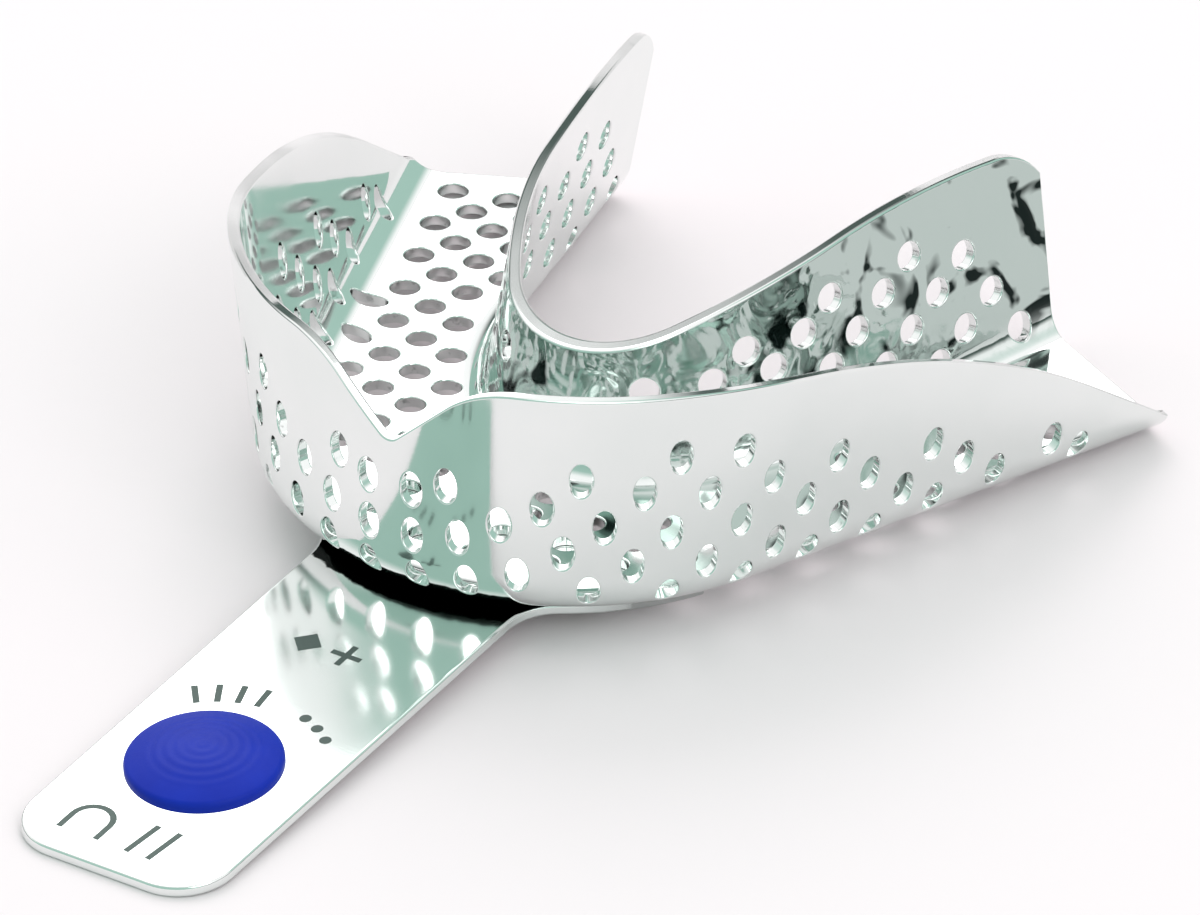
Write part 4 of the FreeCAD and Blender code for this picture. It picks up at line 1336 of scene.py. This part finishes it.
def arc(centre: tuple[float, float], radius: float, start: float, end: float, count: int) -> Array:
    """Plan points along an arc, with angles in degrees and both ends included."""
    angle = np.radians(np.linspace(start, end, count))
    return np.stack([centre[0] + radius * np.cos(angle), centre[1] + radius * np.sin(angle)], axis=1)


def stroke(path: Array, width: float) -> Array:
    """Closed outline of a line of a width drawn along a path, with square ends.

    Args:
        path: the path's points.
        width: the width.

    Returns:
        The outline.
    """
    along = unit(np.gradient(path, axis=0))
    across = 0.5 * width * np.stack([along[:, 1], -along[:, 0]], axis=1)
    return np.concatenate([path + across, (path - across)[::-1]])


@dataclass(frozen=True)
class HandleMarks:
    """Generic marks that a laser has left on the handle: no lettering, only bars, dots and an arch."""

    line: float = 0.54
    disc_y: float = -24.8

    def around_disc(self, radius: float, bearing: float) -> Array:
        """Plan point at a distance from the disc's middle, on a bearing in degrees from +X."""
        angle = math.radians(bearing)
        return np.array([radius * math.cos(angle), self.disc_y + radius * math.sin(angle)])

    def outlines(self) -> list[Array]:
        """Closed outline of every mark.

        Returns:
            One array of plan points for each.
        """
        ticks = [stroke(np.linspace(self.around_disc(8.6, bearing), self.around_disc(10.9, bearing), 4),
                        self.line) for bearing in (98.0, 108.5, 119.0, 129.5)]
        dots = [arc(tuple(self.around_disc(9.6, bearing)), 0.5, 0.0, 330.0, 12)
                for bearing in (72.0, 62.0, 52.0)]
        arch = np.concatenate([[(-5.4, -36.4)], arc((-3.7, -34.5), 1.7, 180.0, 0.0, 13), [(-2.0, -36.4)]])
        bars = [stroke(np.linspace((x, -36.5), (x + 0.4, -32.6), 4), self.line) for x in (0.9, 2.9)]
        diamond = np.array([(-2.6, -8.7), (-1.3, -7.4), (-2.6, -6.1), (-3.9, -7.4)])
        half, arm = 0.5 * self.line, 1.35
        corner = np.array([(arm, -half), (arm, half), (half, half), (half, arm), (-half, arm), (-half, half)])
        cross = np.concatenate([corner, -corner]) + [1.0, -7.4]
        return ticks + dots + bars + [stroke(arch, self.line), diamond, cross]


@dataclass(frozen=True)
class HandlePlate:
    """The flat handle and its tab, with rounded edges, a soft bend and three weld holes."""

    gauge: float = 0.9
    half_width: float = 9.3
    reach: float = 39.0
    corner: float = 4.6
    throat: float = 4.5
    tab_radius: float = 21.0
    tab_centre: float = 24.0
    tab_depth: float = 15.0
    tilt: float = 5.4
    bend_line: float = 6.0
    bend_softness: float = 1.2
    edge_radius: float = 0.25
    mesh_step: float = 0.9
    crevice_front: tuple[float, float] = (23.9, 22.9)   # painted shade, by distance from the arch's middle: none, and full
    crevice_rear: tuple[float, float] = (20.2, 21.2)    # the same, towards the rear
    weld_edge: float = 0.08         # rounding of the weld holes' edges
    weld_radius: float = 1.6
    welds: tuple[tuple[float, float], ...] = ((-11.0, 9.5), (0.0, 9.5), (11.0, 9.5))
    marks: HandleMarks = HandleMarks()

    def outline(self, pull: float) -> Array:
        """The plate's outline drawn in by a distance, anticlockwise from the middle of the free end.

        Args:
            pull: the distance.

        Returns:
            Plan points.
        """
        half, reach = self.half_width - pull, self.reach - pull
        corner_at = (self.half_width - self.corner, self.corner - self.reach)
        across = self.half_width + self.throat
        down = math.sqrt((self.tab_radius + self.throat) ** 2 - across ** 2)
        meet = math.degrees(math.atan2(down, across))
        tab = self.tab_radius - pull
        rear = self.tab_depth - pull
        end_x = math.sqrt(tab ** 2 - (self.tab_centre - rear) ** 2)
        end = math.degrees(math.atan2(rear - self.tab_centre, end_x))
        throat_y = self.tab_centre - down
        right = np.concatenate([
            np.linspace((0.0, -reach), (corner_at[0], -reach), 9)[:-1],
            arc(corner_at, self.corner - pull, -90.0, 0.0, 13)[:-1],
            np.linspace((half, corner_at[1]), (half, throat_y), 56)[:-1],
            arc((across, throat_y), self.throat + pull, 180.0, 180.0 - meet, 10)[:-1],
            arc((0.0, self.tab_centre), tab, -meet, end, 16),
            np.linspace((end_x, rear), (0.0, rear), 28)[1:],
        ])
        return np.concatenate([right, (right * [-1.0, 1.0])[-2:0:-1]])

    def lift(self, plane: Array, depth: float) -> tuple[Array, Array]:
        """Points and upward normals at a depth under the top face.

        The face is level behind the bend line and falls in front of it. A root of a square and a constant
        takes the corner off the two straight lines.

        Args:
            plane: plan points.
            depth: the depth.

        Returns:
            Points and unit normals.
        """
        front = self.bend_line - plane[..., 1]
        soft = np.sqrt(front ** 2 + self.bend_softness ** 2)
        fall = math.tan(math.radians(self.tilt))
        slope = 0.5 * fall * (1.0 + front / soft)
        height = -0.5 * fall * (front + soft) - depth * np.sqrt(1.0 + slope ** 2)
        normals = np.stack([np.zeros_like(slope), -slope, np.ones_like(slope)], axis=-1)
        return np.concatenate([plane, height[..., None]], axis=-1), unit(normals)

    def face(self, parts: MeshParts, edge: Array, rings: list[Array], marks: list[Array], depth: float,
             top: bool) -> list[Array]:
        """Triangulate one face between its edge and the weld holes.

        Args:
            parts: the mesh that takes it.
            edge: the plate's outline on this face.
            rings: outlines of the weld holes.
            marks: outlines of the marks.
            depth: the face's depth under the top face.
            top: whether it is the top face.

        Returns:
            Vertex numbers of the edge and of each ring.
        """
        loops = [edge, *rings, *marks]
        lattice = hex_points(edge.min(axis=0), edge.max(axis=0), self.mesh_step)
        lattice = lattice[inside(lattice, edge)]
        border = np.concatenate(loops)
        gaps = np.linalg.norm(lattice[:, None] - border[None], axis=2).min(axis=1)
        lattice = lattice[gaps > 0.5 * self.mesh_step]
        plane = np.concatenate([lattice, *loops])
        starts = len(lattice) + np.cumsum([0] + [len(loop) for loop in loops])
        edges = np.concatenate([loop_edges(start, 1, len(loop)) for start, loop in zip(starts, loops)])
        triangles = triangulate(plane, edges)
        middles = plane[triangles].mean(axis=1)
        keep = inside(middles, edge)
        for ring in rings:
            keep &= ~inside(middles, ring)
        etched = np.zeros(len(middles), dtype=bool)
        for mark in marks:
            etched |= inside(middles, mark)
        solid, normals = self.lift(plane, depth)
        from_arch = np.hypot(plane[:, 0], plane[:, 1] - self.tab_centre)
        # painted shade on the top face, in a band round the arch where the tray's front sits on the handle
        painted_shade = ramp(from_arch, *self.crevice_front) * ramp(from_arch, *self.crevice_rear) if top else 0.0
        numbers = parts.add_points(solid, normals if top else -normals, painted_shade)
        turned = triangles[keep] if top else triangles[keep][:, ::-1]
        parts.add_faces(numbers[turned], etched[keep].astype(int))
        return [numbers[start:start + len(loop)] for start, loop in zip(starts, [edge, *rings])]

    def strip(self, parts: MeshParts, loops: list[Array], rim: Rim, first: Array, last: Array,
              hole: bool) -> None:
        """Join the faces along the plate's edge or through a hole.

        Args:
            parts: the mesh that takes it.
            loops: the rim's rows in plan.
            rim: the rim's profile.
            first: vertex numbers of the top face's outline.
            last: vertex numbers of the lower face's outline.
            hole: whether it is a hole.
        """
        numbers = [first]
        out_plane = unit(loops[rim.steps] - loops[0])
        outwards = np.concatenate([out_plane, np.zeros((len(out_plane), 1))], axis=1)
        for loop, (_, depth, angle) in list(zip(loops, rim.rows()))[1:-1]:
            points, up = self.lift(loop, depth)
            numbers.append(parts.add_points(points, math.cos(angle) * up + math.sin(angle) * outwards))
        numbers.append(last)
        parts.add_grid(np.stack(numbers), closed=True, flip=not hole)

    def make(self, steel: bpy.types.Material, mark: bpy.types.Material) -> bpy.types.Object:
        """Build the plate.

        Args:
            steel: its finish.
            mark: the finish of its marks.

        Returns:
            The plate.
        """
        parts = MeshParts()
        sheet_rim, weld_rim = Rim(self.edge_radius, self.gauge, 4), Rim(self.weld_edge, self.gauge, 1)
        edges = [self.outline(pull) for pull, _, _ in sheet_rim.rows()]
        rings = [[arc(spot, self.weld_radius + pull, 0.0, 350.0, 36) for pull, _, _ in weld_rim.rows()]
                 for spot in self.welds]
        over = self.face(parts, edges[0], [ring[0] for ring in rings], self.marks.outlines(), 0.0, True)
        under = self.face(parts, edges[-1], [ring[-1] for ring in rings], [], self.gauge, False)
        self.strip(parts, edges, sheet_rim, over[0], under[0], hole=False)
        for ring, first, last in zip(rings, over[1:], under[1:]):
            self.strip(parts, ring, weld_rim, first, last, hole=True)
        log.info("handle: %d vertices", parts.count)
        return parts.make("handle_plate", [steel, mark])


# ---------------------------------------------------------------- round pieces

@dataclass(frozen=True)
class Seat:
    """Where a turned piece sits: a point in the design frame and its axis's lean towards -Y, in degrees."""

    place: tuple[float, float, float]
    lean: float = 0.0

    def lathe(self, parts: MeshParts, profile: Array, around: int = 96) -> None:
        """Turn a profile about the axis.

        Args:
            parts: the mesh that takes it.
            profile: (radius, height) from the axis at the bottom, outwards and up, to the axis at the top.
            around: points in a circle.
        """
        angle = np.linspace(0.0, TURN, around, endpoint=False)
        tilt = math.radians(self.lean)
        east, north = np.array([1.0, 0.0, 0.0]), np.array([0.0, math.cos(tilt), math.sin(tilt)])
        up = np.array([0.0, -math.sin(tilt), math.cos(tilt)])
        outward = np.cos(angle)[:, None] * east + np.sin(angle)[:, None] * north
        along = unit(np.gradient(profile, axis=0))
        rings = profile[1:-1]
        points = (np.array(self.place) + rings[:, 0, None, None] * outward[None]
                  + rings[:, 1, None, None] * up)
        normals = along[1:-1, 1, None, None] * outward[None] - along[1:-1, 0, None, None] * up
        numbers = parts.add_points(points, normals)
        parts.add_grid(numbers, closed=True)
        for end, row, down in ((0, numbers[0], True), (-1, numbers[-1], False)):
            middle = (np.array(self.place) + profile[end, 1] * up)[None]
            tip = parts.add_points(middle, -up[None] if down else up[None])
            after = np.roll(row, -1)
            pair = (after, row) if down else (row, after)
            parts.add_faces(np.stack([*pair, np.broadcast_to(tip, row.shape)], axis=1))


HANDLE = HandlePlate()
DISC_SEAT = Seat((0.0, HandleMarks.disc_y,
                  (HandleMarks.disc_y - HANDLE.bend_line) * math.tan(math.radians(HANDLE.tilt))), HANDLE.tilt)


@dataclass(frozen=True)
class SizeButton:
    """Domed blue disc with a soft shoulder and faint turning marks from its mould."""

    radius: float = 6.2
    rim: float = 0.9
    dome: float = 2.2
    lift: float = 0.15              # the glue's thickness under it
    shoulder: float = 0.55
    ripple: float = 0.012
    ripple_pitch: float = 0.85

    def profile(self) -> Array:
        """(radius, height): flat underside, small edge, side, round shoulder and a dome of one radius.

        Returns:
            The points, from the axis below to the axis above.
        """
        rise = self.dome - self.rim
        ball = (self.radius ** 2 + rise ** 2) / (2.0 * rise)
        centre = self.dome - ball
        inner = self.radius - self.shoulder
        low = centre + math.sqrt((ball - self.shoulder) ** 2 - inner ** 2)
        meet = math.atan2(low - centre, inner)
        turn = np.linspace(0.0, meet, 12)
        shoulder = np.stack([inner + self.shoulder * np.cos(turn), low + self.shoulder * np.sin(turn)],
                            axis=1)
        r = np.linspace(ball * math.cos(meet), 0.0, 90)[1:]
        wave = self.ripple * np.sin(TURN * r / self.ripple_pitch) * ramp(r, 5.2, 3.8)
        dome = np.stack([r, centre + np.sqrt(ball ** 2 - r ** 2) + wave], axis=1)
        foot = np.array([(0.0, 0.0), (3.0, 0.0), (self.radius - 0.16, 0.0), (self.radius - 0.05, 0.05),
                         (self.radius, 0.16)])
        return np.concatenate([foot, shoulder, dome]) + [0.0, self.lift]

    def make(self, plastic: bpy.types.Material) -> bpy.types.Object:
        """Build the button.

        Args:
            plastic: its finish.

        Returns:
            The button.
        """
        parts = MeshParts()
        DISC_SEAT.lathe(parts, self.profile(), 128)
        log.info("size_button: %d vertices", parts.count)
        button = parts.make("colour_button", [plastic])
        button.visible_glossy = False       # the steel shows no mirror image of the button
        return button


@dataclass(frozen=True)
class GlueFilm:
    """Thin film of adhesive whose edge has drawn in between the two pieces."""

    radius: float = 5.7
    thickness: float = 0.15
    drawn_in: float = 0.07

    def make(self, adhesive: bpy.types.Material) -> bpy.types.Object:
        """Build the film.

        Args:
            adhesive: its finish.

        Returns:
            The film.
        """
        share = np.linspace(0.0, 1.0, 9)
        side = np.stack([self.radius - self.drawn_in * np.sin(math.pi * share), self.thickness * share],
                        axis=1)
        profile = np.concatenate([[(0.0, 0.0), (3.0, 0.0)], side,
                                  [(3.0, self.thickness), (0.0, self.thickness)]])
        parts = MeshParts()
        DISC_SEAT.lathe(parts, profile)
        log.info("button_glue: %d vertices", parts.count)
        film = parts.make("adhesive_film", [adhesive])
        film.visible_glossy = False         # like the button that covers it
        return film


@dataclass(frozen=True)
class WeldPlugs:
    """Three plug welds, each with the shallow ringed crater that the arc leaves."""

    radius: float = 1.6
    depth: float = 0.9
    crater: float = 0.06
    ring_depth: float = 0.012
    ring_pitch: float = 0.4

    def make(self, metal: bpy.types.Material) -> bpy.types.Object:
        """Build the three plugs as one piece.

        Args:
            metal: their finish.

        Returns:
            The plugs.
        """
        r = np.linspace(0.0, self.radius - 0.06, 40)
        bowl = (self.crater * np.cos(0.5 * math.pi * r / r[-1])
                + self.ring_depth * np.sin(TURN * r / self.ring_pitch))
        bowl = bowl * ramp(r, r[-1], 0.8 * self.radius)
        under = np.stack([r, np.maximum(bowl, 0.0) - self.depth], axis=1)
        profile = np.concatenate([under, [(self.radius, 0.06 - self.depth), (self.radius, -0.04),
                                          (self.radius - 0.04, 0.0), (0.8, 0.0), (0.0, 0.0)]])
        parts = MeshParts()
        for x, y in HANDLE.welds:
            Seat((x, y, 0.0)).lathe(parts, profile, 48)
        log.info("weld_plugs: %d vertices", parts.count)
        return parts.make("plug_welds", [metal])


# ---------------------------------------------------------------- stage

@dataclass(frozen=True)
class Studio:
    """A pale floor, soft lights and the camera."""

    azimuth: float = 34.206
    elevation: float = 30.5
    distance: float = 1400.0                            # millimetres
    aim: tuple[float, float, float] = (10.8, 12.8, 9.8)     # design frame
    frame_width: float = 92.3                           # millimetres across the view at the aim
    sensor: float = 36.0
    sky_power: float = 1.12
    front: tuple[float, float, float] = (0.05, -0.98, 0.18)     # the grey-green screen's direction
    front_spread: tuple[float, float] = (0.25, 0.6)     # cosine from it at its soft edge and inside that
    rear: tuple[float, float, float] = (0.36, 0.86, 0.36)       # a narrower one behind
    rear_spread: tuple[float, float] = (0.86, 0.93)
    screen: str = "#a8c8bd"
    band: tuple[tuple[float, str], ...] = ((0.1, "#56635f"), (0.34, "#ffffff"))

    def camera(self) -> bpy.types.Object:
        """The camera, square to the tray's floor rather than to what it stands on.

        Returns:
            The camera.
        """
        a, e = math.radians(self.azimuth), math.radians(self.elevation)
        back = np.array([math.sin(a) * math.cos(e), -math.cos(a) * math.cos(e), math.sin(e)])
        right = np.array([math.cos(a), math.sin(a), 0.0])
        axes = STANCE.turned(np.stack([right, np.cross(back, right), back]))
        data = bpy.data.cameras.new("camera")
        data.sensor_width = self.sensor
        data.lens = self.sensor * self.distance / self.frame_width
        data.clip_start, data.clip_end = 0.05, 20.0
        camera = bpy.data.objects.new("camera", data)
        camera.matrix_world = Matrix(axes.T.tolist()).to_4x4()
        camera.location = STANCE.placed(np.array(self.aim) + self.distance * back)
        bpy.context.scene.collection.objects.link(camera)
        bpy.context.scene.camera = camera
        return camera

    def floor(self) -> bpy.types.Object:
        """A wide pale floor.

        Returns:
            The floor.
        """
        half = 3.0
        mesh = bpy.data.meshes.new("floor")
        mesh.from_pydata([(-half, -half, 0), (half, -half, 0), (half, half, 0), (-half, half, 0)], [],
                         [(0, 1, 2, 3)])
        material, shader = blank("matt_white_sweep")
        shader.inputs["Base Color"].default_value = linear("#faeff3")
        shader.inputs["Roughness"].default_value = 0.9
        shader.inputs["Specular IOR Level"].default_value = 0.2
        mesh.materials.append(material)
        floor = bpy.data.objects.new("floor", mesh)
        bpy.context.scene.collection.objects.link(floor)
        return floor

    def lamp(self, name: str, place: tuple[float, float, float], size: float, power: float) -> None:
        """A square soft light that faces the tray.

        Args:
            name: its name.
            place: where it is, in metres.
            size: its side, in metres.
            power: its power, in watts.
        """
        data = bpy.data.lights.new(name, "AREA")
        data.shape, data.size, data.energy = "SQUARE", size, power
        lamp = bpy.data.objects.new(name, data)
        lamp.location = place
        lamp.rotation_euler = (-Vector(place)).to_track_quat("-Z", "Y").to_euler()
        bpy.context.scene.collection.objects.link(lamp)

    def sky(self) -> None:
        """Soft surroundings: white overhead and behind, a dark low horizon and two grey-green screens.

        Brightness is a ramp of the direction's height, mixed with the screens' colour by how far the
        direction points towards each.
        """
        world = bpy.data.worlds.new("studio")
        world.use_nodes = True
        bpy.context.scene.world = world
        ground = world.node_tree.nodes["Background"]
        direction = add_node(world, "ShaderNodeTexCoord").outputs["Generated"]
        height = add_node(world, "ShaderNodeSeparateXYZ", Vector=direction)
        upward = add_node(world, "ShaderNodeValToRGB", Fac=height.outputs["Z"])
        for element, (position, colour) in zip(upward.color_ramp.elements, self.band):
            element.position, element.color = position, linear(colour)
        tone = upward.outputs["Color"]
        for towards, (edge, middle) in ((self.front, self.front_spread), (self.rear, self.rear_spread)):
            facing = add_node(world, "ShaderNodeVectorMath",
                              {"operation": "DOT_PRODUCT", "Vector_001": towards}, Vector=direction)
            share = add_node(world, "ShaderNodeMapRange", {"From Min": edge, "From Max": middle},
                             Value=facing.outputs["Value"])
            screened = add_node(world, "ShaderNodeMix", {"data_type": "RGBA", "B_Color": linear(self.screen)},
                                Factor_Float=share.outputs["Result"], A_Color=tone)
            tone = screened.outputs[COLOUR]
        drive(world, ground, Color=tone)
        ground.inputs["Strength"].default_value = self.sky_power

    def make(self) -> None:
        """Set up everything that is not part of the tray."""
        self.camera()
        self.floor()
        self.sky()
        self.lamp("key", (-0.45, 0.6, 0.75), 0.7, 2.6)
        self.lamp("fill", (0.75, -0.35, 0.7), 0.6, 1.6)
        bpy.context.scene.view_settings.view_transform = "Standard"


def main() -> None:
    """Build every piece, hide the CAD nodes that the pieces replace, and set the stage."""
    logging.basicConfig(level=logging.INFO, format="%(name)s: %(message)s")
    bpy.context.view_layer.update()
    steel = PolishedStainless().make()
    pieces = {
        "tray_shell": (TrayShell(Trough(TroughSizes()), Perforations()).make(steel), "polished_stainless"),
        "handle": (HANDLE.make(PolishedStainless(polish=0.1, dulled=0.17).make(), EtchedOxide().make()),
                   "polished_stainless"),
        "weld_plugs": (WeldPlugs().make(WeldMetal().make()), "weld_metal"),
        "button_glue": (GlueFilm().make(CuredAdhesive().make()), "clear_glue"),
        "size_button": (SizeButton().make(MouldedNylon().make()), "blue_plastic"),
    }
    for node, (piece, slot) in pieces.items():
        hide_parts(node)
        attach(piece, "root")
        corners = np.array([v.co for v in piece.data.vertices])
        log.info("%s: mesh %s to %s, CAD %s", node, corners.min(axis=0).round(5),
                 corners.max(axis=0).round(5), [tuple(round(c, 5) for c in corner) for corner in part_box(node)])
    Studio().make()


if __name__ == "__main__":
    main()
